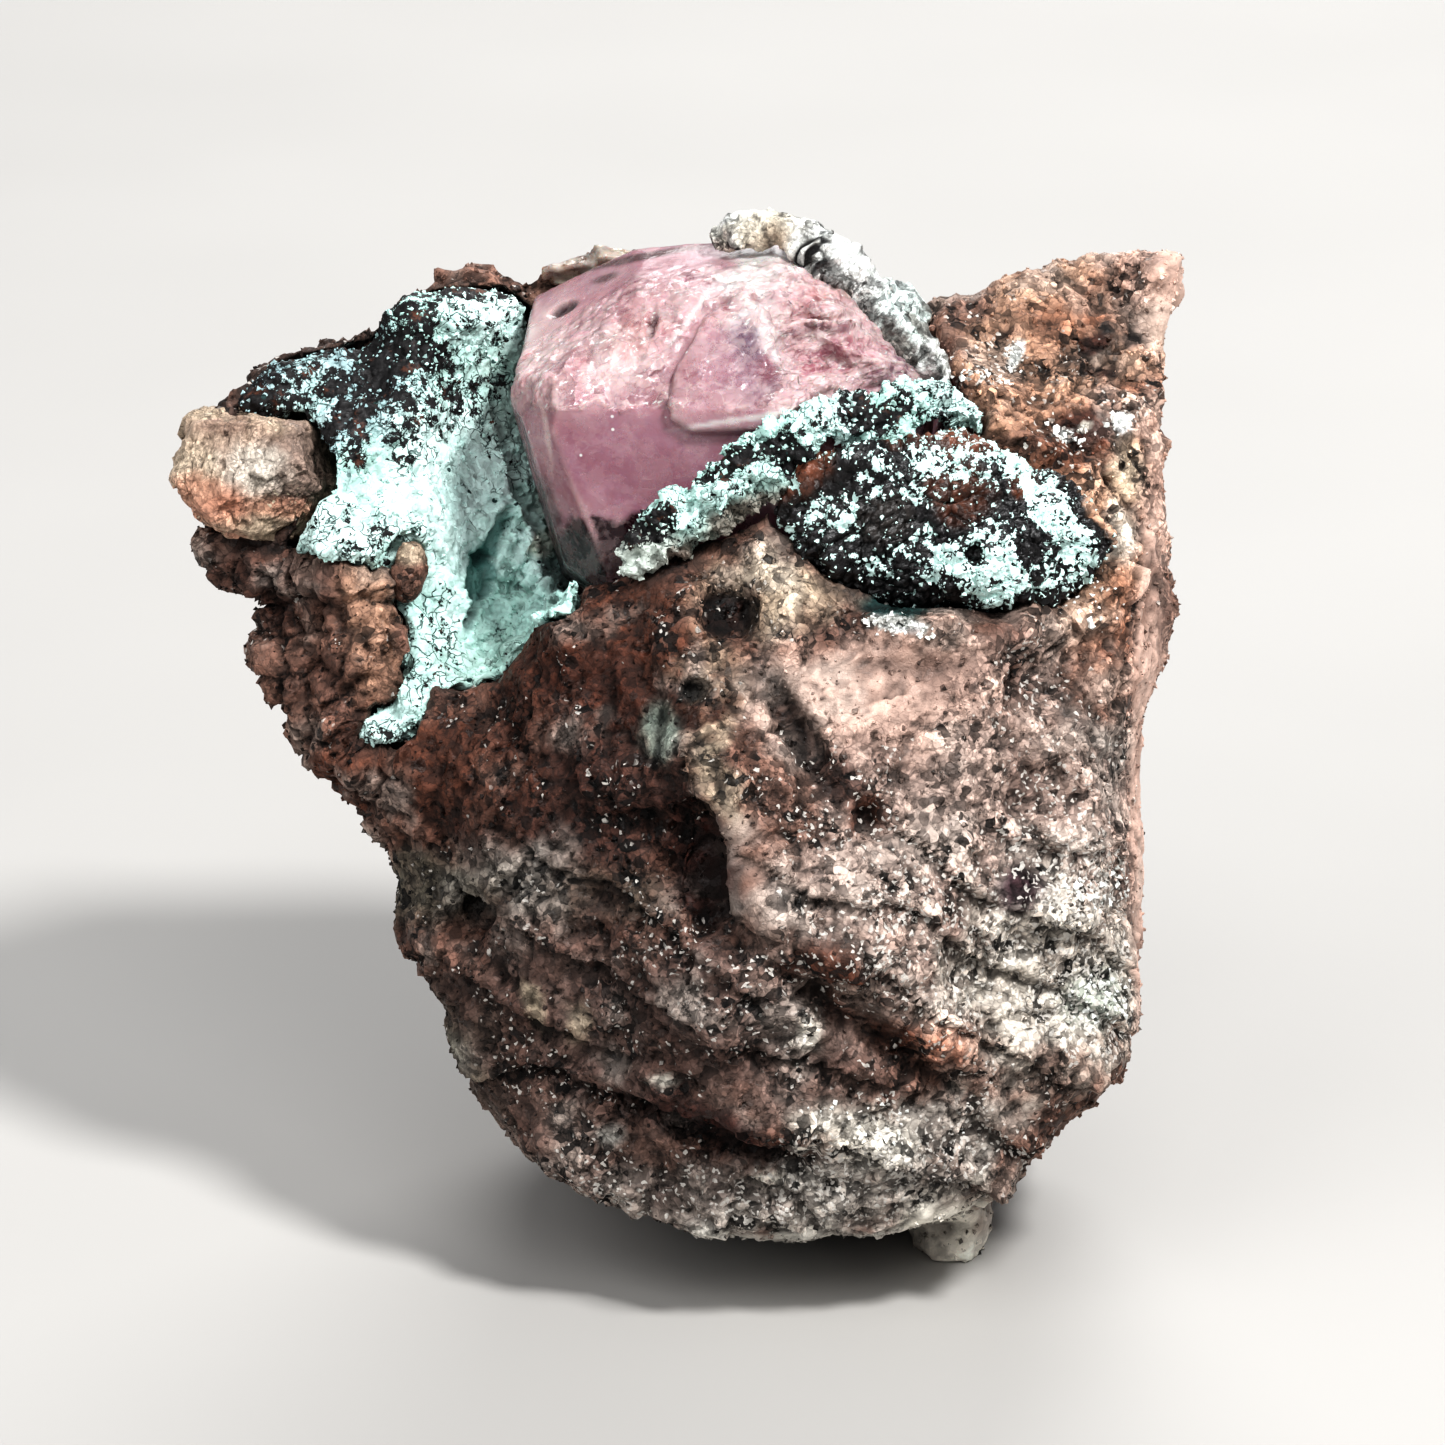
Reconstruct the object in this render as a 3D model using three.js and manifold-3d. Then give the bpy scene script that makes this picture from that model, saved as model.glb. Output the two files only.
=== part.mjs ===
// Cobaltoan calcite specimen: a stubby pink crystal in a crust-lined pocket of brown host rock.
//
// Millimetres, +Z up, standing on the flat under the host rock, which is at z = 0.
// Every form is described face on: u runs right, v runs up the face and w comes out of it.
// A nested group then leans the face back by LEAN, which is how steeply the face is looked down on.
import * as THREE from "three";
import { ConvexGeometry } from "three/addons/geometries/ConvexGeometry.js";
import { ImprovedNoise } from "three/addons/math/ImprovedNoise.js";
import { mergeVertices } from "three/addons/utils/BufferGeometryUtils.js";
import Module from "manifold-3d";

const wasm = await Module();
wasm.setup();

// How the specimen stands: the face's lean, and where the standing point is from the face's centre
const LEAN = THREE.MathUtils.degToRad(22);
const BASE_BELOW_CENTRE = 26.4;
const STANDING_CENTRE = { x: -0.14, y: 3.65 };

// Grid spacing of each skinned form
const ROCK_CELL = 2.05;
const POCKET_CELL = 1.5;
const MOUND_CELL = 1.4;
const SEAM_CELL = 0.95;

// Gap between neighbouring pieces, and how near two points are to be one
const FIT_GAP = 0.3;
const WELD = 1e-3;
const SLIVER = 0.01;

// Host rock: rounding of its broken edges, how sharply its faces part, and how its rim draws in
const EDGE_ROUNDING = 0.9;
const FACE_SHARPNESS = 2.6;
const FACE_STEEPNESS = 0.75;
const RIM = {
  behind: -2, drawBehind: 0.1, drawAbove: 0.16, lowFrom: -20, lowTo: -8, before: 4, drawBefore: 0.1,
};
const CHIPS = { size: 5.2, height: 1.0, fineSize: 2.9, fineHeight: 0.6, atRim: 0.3 };
const LUMP_BLEND = 1.2;
const PIT_BLEND = 0.5;
const CRUST_PROUD = 0.8;
const CRUST_BLEND = 0.4;
const SEAM_BLEND = 1.8;

// Drawing vertices onto a surface: share of a cell kept clear at its sides, size of the slope's probe,
// and the least squared slope that is followed
const CELL_MARGIN = 0.04;
const PROBE = 0.05;
const LEAST_SLOPE = 0.04;

// The host rock's outline, face on, clockwise from the left end of the shoulder. [u, v]
const ROCK_OUTLINE = [
  [-23.2, 13.5], [-23.0, 15.8], [-22.1, 17.4], [-20.2, 18.7], [-16.2, 20.1], [-13.5, 21.4],
  [-12.0, 22.6], [-10.0, 23.1], [-7.3, 22.0], [-3.9, 23.0], [-1.4, 22.6], [2.0, 21.9],
  [8.6, 20.6], [10.9, 20.5], [13.1, 20.4], [15.7, 21.8], [18.3, 23.4], [21.4, 24.8],
  [27.6, 25.8], [26.0, 22.0], [23.6, 18.7], [23.2, 15.0], [23.4, 9.7], [23.8, 6.3],
  [22.7, 0.5], [22.2, -1.9], [22.6, -7.2], [22.4, -14.6], [20.4, -17.2], [18.0, -19.0],
  [15.6, -22.3], [13.9, -23.5], [9.7, -24.2], [5.3, -24.8], [1.0, -24.2], [-3.9, -22.4],
  [-7.2, -20.4], [-10.1, -17.7], [-11.2, -14.1], [-13.4, -11.2], [-13.8, -7.2],
  [-15.0, -4.3], [-17.5, -1.1], [-19.2, 0.9], [-20.2, 3.9], [-19.9, 5.9], [-22.5, 7.6],
  [-23.4, 10.1],
];

// Broken faces of the front, each near its centre: [u, v, depth, rise to the right, rise upwards]
const FRONT_FACES = [
  [3.0, -5.0, 12.6, -0.12, 0.05], [9.5, -2.0, 11.2, -0.28, 0.0], [10.5, 4.2, 9.6, -0.15, -0.25],
  [18.0, 3.5, 6.6, -0.45, -0.1], [17.5, -4.0, 7.6, -0.4, 0.0], [17.0, -12.0, 6.6, -0.35, 0.15],
  [21.7, -2.0, 1.0, -3.0, 0.0], [21.9, -10.5, 0.2, -3.0, 0.1], [22.8, 5.5, 0.5, -3.0, 0.0],
  [8.0, -11.0, 11.0, -0.15, 0.3], [8.0, -16.5, 8.4, -0.1, 0.5], [6.0, -21.5, 5.4, 0.0, 0.8],
  [14.0, -18.5, 5.4, -0.4, 0.6], [-1.2, -7.0, 9.6, 0.75, 0.1], [-8.0, -9.0, 5.6, 0.6, 0.1],
  [-6.0, -14.5, 4.8, 0.5, 0.5], [-9.5, -16.0, 2.0, 0.6, 0.5], [-1.5, -19.5, 5.0, 0.3, 0.7],
  [-4.0, 1.8, 9.4, 0.3, -0.3], [-4.4, 5.6, 7.6, 0.25, -0.7], [-9.5, -2.6, 6.2, 0.6, -0.3],
  [2.5, 2.0, 11.4, -0.1, -0.35], [2.5, 7.0, 9.4, 0.0, -0.6], [8.5, 12.6, 6.8, -0.2, -0.4],
  [-16.0, 3.2, 2.8, 0.3, 0.2], [-19.3, 5.6, 0.2, 0.7, 0.3], [-15.0, -1.2, 1.6, 0.6, 0.4],
  [-12.6, -5.4, 1.6, 0.7, 0.4], [-20.0, 12.0, 1.4, 0.4, 0.1], [-19.5, 16.4, -1.2, 0.2, -0.6],
  [-14.5, 16.2, 0.0, 0.0, -0.6], [-13.2, 20.0, -3.4, 0.0, -0.9], [-9.5, 21.3, -4.2, 0.1, -0.7],
  [-13.2, 11.4, 0.6, -0.5, -0.1], [-9.6, 12.0, -2.6, -0.6, 0.0], [-8.0, 8.0, -4.0, -0.2, 0.3],
  [-11.2, 5.6, -0.8, -0.6, 0.2], [-13.2, 1.6, 1.2, -0.3, -0.1], [-9.2, 17.0, -3.0, -0.2, -0.3],
  [14.0, 15.4, 3.6, -0.1, -0.6], [15.0, 19.0, -0.6, 0.0, -0.9], [20.0, 13.0, 2.8, -0.35, -0.4],
  [21.6, 19.4, -2.6, -0.3, -0.7], [19.0, 8.5, 5.0, -0.35, -0.25], [2.5, 18.0, -1.0, 0.0, -0.3],
];

// Broken faces of the back, in the same terms
const BACK_FACES = [
  [1.0, -10.0, -24.0, 0.05, -0.05], [0.0, 2.0, -21.5, 0.05, 0.2], [2.0, 14.0, -17.0, 0.0, 0.5],
  [16.0, 0.0, -17.5, 0.5, 0.1], [14.0, -14.0, -20.0, 0.5, -0.1], [-11.0, 0.0, -17.0, -0.6, 0.1],
  [-7.0, -14.0, -20.0, -0.5, 0.0], [-17.0, 12.0, -11.5, -0.5, 0.4], [-8.0, 19.0, -13.0, -0.1, 0.7],
  [20.5, 18.0, -11.0, 0.3, 0.4], [12.0, 15.0, -15.0, 0.2, 0.5], [8.0, -6.0, -23.0, 0.3, 0.1],
  [-4.0, 8.0, -19.5, -0.2, 0.4],
];

// Rounded masses joined to the rock: the pale foot first, then the lumps along its edges
const ROCK_LUMPS = [
  { at: [13.3, -24.1, -7.9], radii: [2.1, 3.4, 3.2] },
  { at: [-10.4, 21.4, -6.0], radii: [2.9, 1.5, 2.6] },
  { at: [-3.6, 21.8, -5.0], radii: [3.4, 1.7, 2.6] },
  { at: [-18.8, 3.4, -0.8], radii: [1.9, 2.2, 2.4] },
  { at: [-13.0, 19.6, -1.6], radii: [1.1, 1.6, 1.2] },
  { at: [22.6, 6.0, -2.5], radii: [1.2, 2.6, 3.4] },
  { at: [23.2, 22.3, -4.6], radii: [1.7, 1.25, 2.4] },
];

// The hollow under the mound, the pits of the ridge, and the undercut ledges
const ROCK_PITS = [
  { at: [10.2, 6.0, 10.2], radii: [1.9, 0.9, 2.2] },
  { at: [2.6, 6.4, 10.4], radii: [1.8, 1.7, 1.6] },
  { at: [0.6, 2.2, 12.4], radii: [0.9, 0.8, 1.2] },
  { at: [5.8, -0.6, 12.4], radii: [1.1, 3.0, 1.5], turn: 30 },
  { at: [1.6, -8.0, 11.8], radii: [1.6, 3.4, 1.6], turn: 20 },
  { at: [9.8, -13.4, 10.8], radii: [5.0, 0.9, 1.9], turn: -38 },
  { at: [0.6, -18.2, 7.0], radii: [5.2, 0.9, 2.0], turn: -22 },
  { at: [-3.4, -0.6, 10.6], radii: [2.6, 1.4, 1.2], turn: 60 },
  { at: [-11.5, -8.0, 4.4], radii: [4.6, 0.7, 1.6], turn: -14 },
];

// What is open in front of the crystal and of the pocket, and how far back it reaches
const CRYSTAL_WINDOW = [
  [-8.4, 17.5], [-6.0, 21.4], [-1.9, 23.4], [2.9, 24.6], [6.4, 24.2], [8.8, 22.4], [10.9, 20.2],
  [12.6, 17.8], [12.6, 15.8], [7.4, 15.0], [4.3, 12.8], [0.5, 10.9], [-1.7, 8.2], [-4.3, 7.0],
  [-5.6, 8.6], [-6.8, 11.2], [-7.8, 14.2],
];
const WINDOW_FLOOR = -2.0;

const POCKET_OUTLINE = [
  [-22.4, 15.4], [-20.0, 17.6], [-15.6, 18.6], [-12.4, 21.2], [-8.0, 21.4], [-6.6, 18.2],
  [-7.0, 14.0], [-6.0, 10.6], [-4.2, 7.6], [-6.0, 5.9], [-7.2, 4.3], [-8.7, 2.0], [-11.6, 1.4],
  [-12.5, -0.2], [-14.7, -1.8], [-15.7, -0.2], [-14.2, 1.4], [-13.5, 3.9], [-14.0, 7.2],
  [-19.2, 8.4], [-17.8, 10.2], [-17.0, 12.6], [-18.0, 14.4],
];

// The white rind along the crystal's upper right margin, with its knob: [u, v, w, radius]
const RIND_LUMPS = [
  [2.4, 23.3, 0.8, 0.8], [4.2, 23.6, 0.8, 1.4], [6.0, 22.9, 1.6, 1.1], [7.6, 21.8, 2.2, 1.4],
  [9.2, 20.3, 2.6, 1.2], [10.4, 19.0, 2.9, 1.5], [11.6, 17.2, 3.0, 1.0],
];

// The plane that the pocket crust is bedded on: its depth at one place, and its rises
const CRUST_BED = { u: -16, v: 10, depth: -3.2, rightwards: -0.42, upwards: -0.15 };

// The crest of mint crust along the crystal's lower right edge: [u, v, w, radius]
const CREST_LUMPS = [
  [-2.0, 8.3, 8.0, 0.9], [-0.4, 9.6, 8.2, 1.3], [1.5, 10.7, 8.5, 1.2], [3.2, 12.0, 8.5, 1.5],
  [4.6, 13.4, 8.3, 1.6], [6.2, 14.5, 7.9, 1.7], [8.2, 14.5, 7.5, 1.7], [10.0, 15.1, 6.6, 1.6],
  [12.1, 15.7, 5.2, 1.4], [14.2, 15.0, 4.6, 1.0],
];

const MOUND = { at: [12.0, 9.6, 6.2], radii: [8.3, 4.2, 4.4], turn: -9 };

// The crystal's faces: which way each faces round the u-v plane, how far it turns to the viewer
// (both in degrees), and a point that it passes through
const CRYSTAL_FACES = [
  { name: "upper left side", round: 168, towards: 2, through: [-7.8, 17.2, 0.0] },
  { name: "lower left side", round: 197, towards: 3, through: [-6.6, 11.1, 0.0] },
  { name: "lower tip", round: 232, towards: 4, through: [-4.9, 7.2, 0.0] },
  { name: "foot", round: 276, towards: 0, through: [0.0, 3.6, 0.0] },
  { name: "lower right side", round: 312, towards: 8, through: [8.4, 7.0, 0.0] },
  { name: "right side", round: 350, towards: 10, through: [12.8, 16.0, 0.0] },
  { name: "upper right side", round: 42, towards: 18, through: [11.0, 18.6, 0.0] },
  { name: "right shoulder", round: 62, towards: 20, through: [8.0, 21.6, 0.0] },
  { name: "top", round: 96, towards: 22, through: [3.4, 23.2, 0.0] },
  { name: "upper left shoulder", round: 124, towards: 20, through: [-4.8, 20.8, 0.0] },
  { name: "left bevel", round: 180, towards: 30, through: [-5.8, 14.0, 8.0] },
  { name: "lower left bevel", round: 212, towards: 32, through: [-4.2, 9.4, 6.1] },
  { name: "front upper", round: 98, towards: 67, through: [-1.0, 15.1, 8.4] },
  { name: "front lower", round: 258, towards: 70, through: [-1.0, 15.1, 8.4] },
  { name: "front right", round: 18, towards: 60, through: [6.0, 16.0, 8.4] },
  { name: "top bevel", round: 112, towards: 38, through: [-2.0, 20.6, 4.6] },
  { name: "right bevel", round: 48, towards: 40, through: [9.6, 19.6, 4.2] },
  { name: "back", round: 90, towards: -84, through: [2.0, 14.0, -7.6] },
  { name: "back left", round: 190, towards: -48, through: [-5.4, 13.0, -4.6] },
  { name: "back right", round: 12, towards: -46, through: [9.0, 14.0, -4.8] },
  { name: "back top", round: 88, towards: -42, through: [3.0, 20.4, -5.0] },
];

// A cleavage plate that stands proud of the crystal's front, and the steps cut beside it
const PLATE_OUTLINE = [
  [-0.4, 14.7], [-0.2, 16.8], [1.1, 19.2], [3.2, 21.0], [4.4, 19.0], [5.9, 15.6], [4.4, 14.2], [0.6, 14.1],
];
const PLATE_RISE = 0.55;
const PLATE_COLUMN = { from: 3, depth: 8 };
const STEP_CUTS = [
  { size: [7.0, 2.2, 2.4], at: [8.6, 20.4, 5.6], round: 18, towards: 60 },
  { size: [6.0, 1.5, 2.0], at: [7.4, 18.2, 8.2], round: 12, towards: 62 },
  { size: [4.4, 2.0, 1.6], at: [-4.4, 19.4, 6.6], round: 112, towards: 50 },
];

// The beige fragment's faces, in the crystal faces' terms: [round, towards, through]
const CLAST_FACES = [
  [176, 4, [-25.0, 11.8, 0]], [138, 12, [-23.9, 13.8, 0]], [94, 10, [-20.5, 14.6, 0]],
  [50, 8, [-17.8, 14.2, 0]], [2, 0, [-16.9, 12.0, 0]], [300, 8, [-18.2, 10.5, 0]],
  [266, 10, [-20.8, 9.8, 0]], [220, 8, [-24.0, 10.2, 0]], [95, 78, [-20.8, 12.4, 3.6]],
  [250, 52, [-21.0, 10.9, 3.2]], [185, 50, [-23.8, 12.4, 2.6]], [90, -84, [-20.0, 12.0, -3.4]],
  [200, -45, [-23.4, 12.0, -1.6]],
];
const CHIP = { at: [-13.0, 7.6, 2.4], radii: [0.85, 1.6, 1.1], turn: -8 };
const REAR_RHOMBS = [
  { size: [2.6, 1.8, 2.2], at: [-4.9, 21.9, -4.4], turns: [0.3, 0.5, 0.2] },
  { size: [2.2, 1.6, 2.0], at: [-3.1, 22.3, -4.2], turns: [0.9, 0.2, -0.3] },
  { size: [1.9, 1.5, 1.9], at: [-1.5, 22.2, -4.6], turns: [0.2, -0.6, 0.5] },
];
const RHOMB_SHEAR = 0.2;

const OUTWARDS = new THREE.Vector3(0, 0, 1);
const noise = new ImprovedNoise();

// Smooth noise of a given size of feature, from about -1 to 1
function ripple(u, v, w, size, seed = 0) {
  return noise.noise(u / size + seed, v / size + 3.7 * seed, w / size - 1.9 * seed);
}

function smoothMax(a, b, rounding = EDGE_ROUNDING) {
  const overlap = Math.max(rounding - Math.abs(a - b), 0) / rounding;
  return Math.max(a, b) + 0.25 * overlap * overlap * rounding;
}

function smoothMin(a, b, rounding = EDGE_ROUNDING) {
  return -smoothMax(-a, -b, rounding);
}

// Distance to a closed outline in the u-v plane, negative inside it
function outlineDistance(outline, u, v) {
  let nearest = Infinity;
  let inside = false;
  for (let i = 0; i < outline.length; i++) {
    const [au, av] = outline[i];
    const [bu, bv] = outline[(i + 1) % outline.length];
    const [eu, ev] = [bu - au, bv - av];
    const along = THREE.MathUtils.clamp(((u - au) * eu + (v - av) * ev) / (eu * eu + ev * ev), 0, 1);
    nearest = Math.min(nearest, Math.hypot(u - au - along * eu, v - av - along * ev));
    if (av > v !== bv > v && u < au + ((v - av) / ev) * eu) inside = !inside;
  }
  return inside ? -nearest : nearest;
}

// Depth of a surface made of broken faces, where the nearest face counts most
function relief(faces, u, v) {
  let total = 0;
  let weights = 0;
  for (const [fu, fv, depth, rightwards, upwards] of faces) {
    const near = 1 / ((u - fu) ** 2 + (v - fv) ** 2 + 0.05) ** FACE_SHARPNESS;
    total += near * (depth + rightwards * (u - fu) + upwards * (v - fv));
    weights += near;
  }
  return total / weights;
}

// Distance to an ellipsoid that may be turned in the u-v plane, in degrees
function ellipsoid({ at, radii, turn = 0 }, u, v, w) {
  const [c, s] = [Math.cos(THREE.MathUtils.degToRad(turn)), Math.sin(THREE.MathUtils.degToRad(turn))];
  const [du, dv, dw] = [u - at[0], v - at[1], w - at[2]];
  const scaled = Math.hypot((c * du + s * dv) / radii[0], (c * dv - s * du) / radii[1], dw / radii[2]);
  return (scaled - 1) * Math.min(...radii);
}

// How far the host rock's rim draws in behind its widest level, more above its undercut, and before it
function rimTaper(v, w) {
  const above = THREE.MathUtils.smoothstep(v, RIM.lowFrom, RIM.lowTo);
  const behind = Math.max(0, RIM.behind - w) * (RIM.drawBehind + RIM.drawAbove * above);
  return behind + Math.max(0, w - RIM.before) * RIM.drawBefore;
}

// The host rock before its neighbours are cut out of it: negative inside
function hostRock(u, v, w) {
  const front = FACE_STEEPNESS * (w - relief(FRONT_FACES, u, v));
  const back = FACE_STEEPNESS * (relief(BACK_FACES, u, v) - w);
  const rim = outlineDistance(ROCK_OUTLINE, u, v) + rimTaper(v, w);
  let rock = smoothMax(smoothMax(front, back), rim);
  for (const lump of ROCK_LUMPS) rock = smoothMin(rock, ellipsoid(lump, u, v, w), LUMP_BLEND);
  for (const pit of ROCK_PITS) rock = smoothMax(rock, -ellipsoid(pit, u, v, w), PIT_BLEND);
  const fromRim = CHIPS.atRim + (1 - CHIPS.atRim) * THREE.MathUtils.smoothstep(-rim, -1, 4);
  const coarse = CHIPS.height * ripple(u, v, w, CHIPS.size, 1);
  const fine = CHIPS.fineHeight * ripple(u, v, w, CHIPS.fineSize, 2);
  const open = smoothMax(outlineDistance(CRYSTAL_WINDOW, u, v), WINDOW_FLOOR - w, PIT_BLEND);
  return Math.max(rock + fromRim * (coarse + fine), -open);
}

// The crust on the rock inside the pocket: lumpy in front, and plain where it is bedded in the rock
function pocketCrust(u, v, w) {
  const lumps = 0.5 * Math.abs(ripple(u, v, w, 2.4, 5)) + 0.3 * ripple(u, v, w, 4.5, 6);
  const front = hostRock(u, v, w) - CRUST_PROUD - lumps;
  const { depth, rightwards, upwards } = CRUST_BED;
  const bed = depth + rightwards * (u - CRUST_BED.u) + upwards * (v - CRUST_BED.v);
  const bedded = smoothMax(front, bed - w, CRUST_BLEND);
  return smoothMax(bedded, outlineDistance(POCKET_OUTLINE, u, v), CRUST_BLEND);
}

// Rounded lumps grown into one another along a seam
function seam(lumps, u, v, w) {
  let joined = Infinity;
  for (const [lu, lv, lw, radius] of lumps) {
    joined = smoothMin(joined, Math.hypot(u - lu, v - lv, w - lw) - radius, SEAM_BLEND);
  }
  return joined + 0.1 + 0.5 * ripple(u, v, w, 2.1, 8);
}

function oxideMound(u, v, w) {
  return ellipsoid(MOUND, u, v, w) + 0.7 * ripple(u, v, w, 3.4, 11) + 0.25 * ripple(u, v, w, 1.8, 12);
}

// The corners of a grid cell: two of them share an edge where their numbers differ in one bit
const CORNERS = [0, 1, 2, 3, 4, 5, 6, 7].map((n) => [n & 1, (n >> 1) & 1, n >> 2]);

// Every step of a grid from a first one up to, and not with, the given counts
function* stepsOf([nu, nv, nw], first = 0) {
  for (let i = first; i < nu; i++) {
    for (let j = first; j < nv; j++) {
      for (let k = first; k < nw; k++) yield [i, j, k];
    }
  }
}

// Skins a form whose field is negative inside it: one vertex for each grid cell that its surface crosses,
// drawn onto the surface, and two triangles for each grid edge that the surface cuts.
function skin(field, low, high, cell) {
  const counts = low.map((start, axis) => Math.ceil((high[axis] - start) / cell) + 1);
  const cellCounts = counts.map((count) => count - 1);
  const place = (i, j, k) => [low[0] + i * cell, low[1] + j * cell, low[2] + k * cell];
  const at = (i, j, k) => (i * counts[1] + j) * counts[2] + k;
  const values = new Float64Array(counts[0] * counts[1] * counts[2]);
  for (const step of stepsOf(counts)) values[at(...step)] = field(...place(...step));
  joinTouching(values, cellCounts, at, cell);

  const vertexOf = new Map();
  const positions = [];
  for (const step of stepsOf(cellCounts)) {
    const point = crossingMean(values, at, place, step);
    if (!point) continue;
    vertexOf.set(at(...step), positions.length / 3);
    positions.push(...drawnOnto(field, point, place(...step), cell));
  }

  const triangles = [];
  const apart = (m, n) => Math.hypot(...[0, 1, 2].map((x) => positions[3 * m + x] - positions[3 * n + x]));
  const quad = (cells, flipped) => {
    const [p, q, r, s] = cells.map((step) => vertexOf.get(at(...step)));
    const [e, f, g, h] = flipped ? [p, s, r, q] : [p, q, r, s];
    if (apart(e, g) <= apart(f, h)) triangles.push(e, f, g, e, g, h);
    else triangles.push(f, g, h, f, h, e);
  };
  for (const [i, j, k] of stepsOf(cellCounts, 1)) {
    const inside = values[at(i, j, k)] < 0;
    const crosses = (...next) => inside !== values[at(...next)] < 0;
    if (crosses(i + 1, j, k)) quad([[i, j - 1, k - 1], [i, j, k - 1], [i, j, k], [i, j - 1, k]], !inside);
    if (crosses(i, j + 1, k)) quad([[i - 1, j, k - 1], [i - 1, j, k], [i, j, k], [i, j, k - 1]], !inside);
    if (crosses(i, j, k + 1)) quad([[i - 1, j - 1, k], [i, j - 1, k], [i, j, k], [i - 1, j, k]], !inside);
  }
  const geometry = new THREE.BufferGeometry();
  geometry.setAttribute("position", new THREE.Float32BufferAttribute(positions, 3));
  geometry.setIndex(triangles);
  return geometry;
}

// Fills grid corners until the surface touches itself in no cell
function joinTouching(values, cellCounts, at, cell) {
  const cornersOf = ([i, j, k]) => CORNERS.map(([a, b, c]) => at(i + a, j + b, k + c));
  const cells = [...stepsOf(cellCounts)].map(cornersOf);
  let filled = true;
  while (filled) {
    filled = false;
    for (const corners of cells) {
      if (joinCorners(values, corners, cell)) filled = true;
    }
  }
}

// Whether a cell's corners of one side are all linked by the cell's edges
function linked(members) {
  if (!members.length) return true;
  const reached = new Set([members[0]]);
  for (const member of reached) {
    const beside = [1, 2, 4].map((bit) => member ^ bit);
    beside.filter((corner) => members.includes(corner)).forEach((corner) => reached.add(corner));
  }
  return reached.size === members.length;
}

// Fills the corner of a cell nearest the surface where the surface would touch itself there, and tells so
function joinCorners(values, corners, cell) {
  const inside = [];
  const outside = [];
  corners.forEach((corner, n) => (values[corner] < 0 ? inside : outside).push(n));
  if (linked(inside) && linked(outside)) return false;
  outside.sort((a, b) => values[corners[a]] - values[corners[b]]);
  values[corners[outside[0]]] = -PROBE * cell;
  return true;
}

// The mean of the points where the surface crosses a grid cell's edges, or null where it doesn't
function crossingMean(values, at, place, [i, j, k]) {
  const corners = CORNERS.map(([a, b, c]) => [i + a, j + b, k + c]);
  const sum = [0, 0, 0];
  let crossings = 0;
  for (let a = 0; a < 8; a++) {
    for (const bit of [1, 2, 4]) {
      const b = a | bit;
      if (b === a) continue;
      const [va, vb] = [values[at(...corners[a])], values[at(...corners[b])]];
      if (va < 0 === vb < 0) continue;
      const share = va / (va - vb);
      const [pa, pb] = [place(...corners[a]), place(...corners[b])];
      for (let x = 0; x < 3; x++) sum[x] += pa[x] + share * (pb[x] - pa[x]);
      crossings++;
    }
  }
  return crossings ? sum.map((total) => total / crossings) : null;
}

// Moves a point towards the surface along the field's slope, and keeps it inside its own cell
function drawnOnto(field, point, corner, cell) {
  const margin = CELL_MARGIN * cell;
  const probe = PROBE * cell;
  const moved = [...point];
  for (let round = 0; round < 3; round++) {
    const value = field(...moved);
    const slope = [0, 1, 2].map((axis) => {
      const beside = [...moved];
      beside[axis] += probe;
      return (field(...beside) - value) / probe;
    });
    const steepness = slope.reduce((total, s) => total + s * s, 0);
    if (steepness < LEAST_SLOPE) break;
    for (let x = 0; x < 3; x++) {
      const step = (-value * slope[x]) / steepness;
      moved[x] = THREE.MathUtils.clamp(moved[x] + step, corner[x] + margin, corner[x] + cell - margin);
    }
  }
  return moved;
}

// A direction from its turn round the u-v plane and its turn towards the viewer, in degrees
function facing(round, towards) {
  const [r, t] = [THREE.MathUtils.degToRad(round), THREE.MathUtils.degToRad(towards)];
  return new THREE.Vector3(Math.cos(r) * Math.cos(t), Math.sin(r) * Math.cos(t), Math.sin(t));
}

function facePlane(round, towards, through) {
  const point = new THREE.Vector3(...through);
  return new THREE.Plane().setFromNormalAndCoplanarPoint(facing(round, towards), point);
}

// The convex solid inside a set of planes, each moved out by the margin
function planeSolid(planes, margin = 0) {
  const moved = planes.map((plane) => new THREE.Plane(plane.normal.clone(), plane.constant - margin));
  const corners = [];
  for (let a = 0; a < moved.length; a++) {
    for (let b = a + 1; b < moved.length; b++) {
      for (let c = b + 1; c < moved.length; c++) {
        const corner = meeting(moved[a], moved[b], moved[c]);
        if (corner && moved.every((plane) => plane.distanceToPoint(corner) < 1e-6)) corners.push(corner);
      }
    }
  }
  return new ConvexGeometry(corners);
}

// Where three planes meet, or null if they share no single point
function meeting(p, q, r) {
  const qr = new THREE.Vector3().crossVectors(q.normal, r.normal);
  const size = p.normal.dot(qr);
  if (Math.abs(size) < 1e-6) return null;
  const rp = new THREE.Vector3().crossVectors(r.normal, p.normal);
  const pq = new THREE.Vector3().crossVectors(p.normal, q.normal);
  qr.multiplyScalar(-p.constant);
  rp.multiplyScalar(-q.constant);
  pq.multiplyScalar(-r.constant);
  return qr.add(rp).add(pq).divideScalar(size);
}

// A closed geometry as a manifold-3d solid
function solid(geometry) {
  const bare = geometry.clone();
  bare.deleteAttribute("normal");
  bare.deleteAttribute("uv");
  const merged = mergeVertices(bare, WELD);
  return new wasm.Manifold(
    new wasm.Mesh({
      numProp: 3,
      vertProperties: merged.attributes.position.array,
      triVerts: new Uint32Array(merged.index.array),
    }),
  );
}

// A manifold-3d solid as a geometry
function geometryOf(made) {
  const { vertProperties, triVerts } = made.getMesh();
  const geometry = new THREE.BufferGeometry();
  geometry.setAttribute("position", new THREE.BufferAttribute(vertProperties, 3));
  geometry.setIndex(new THREE.BufferAttribute(triVerts, 1));
  return geometry;
}

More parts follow.
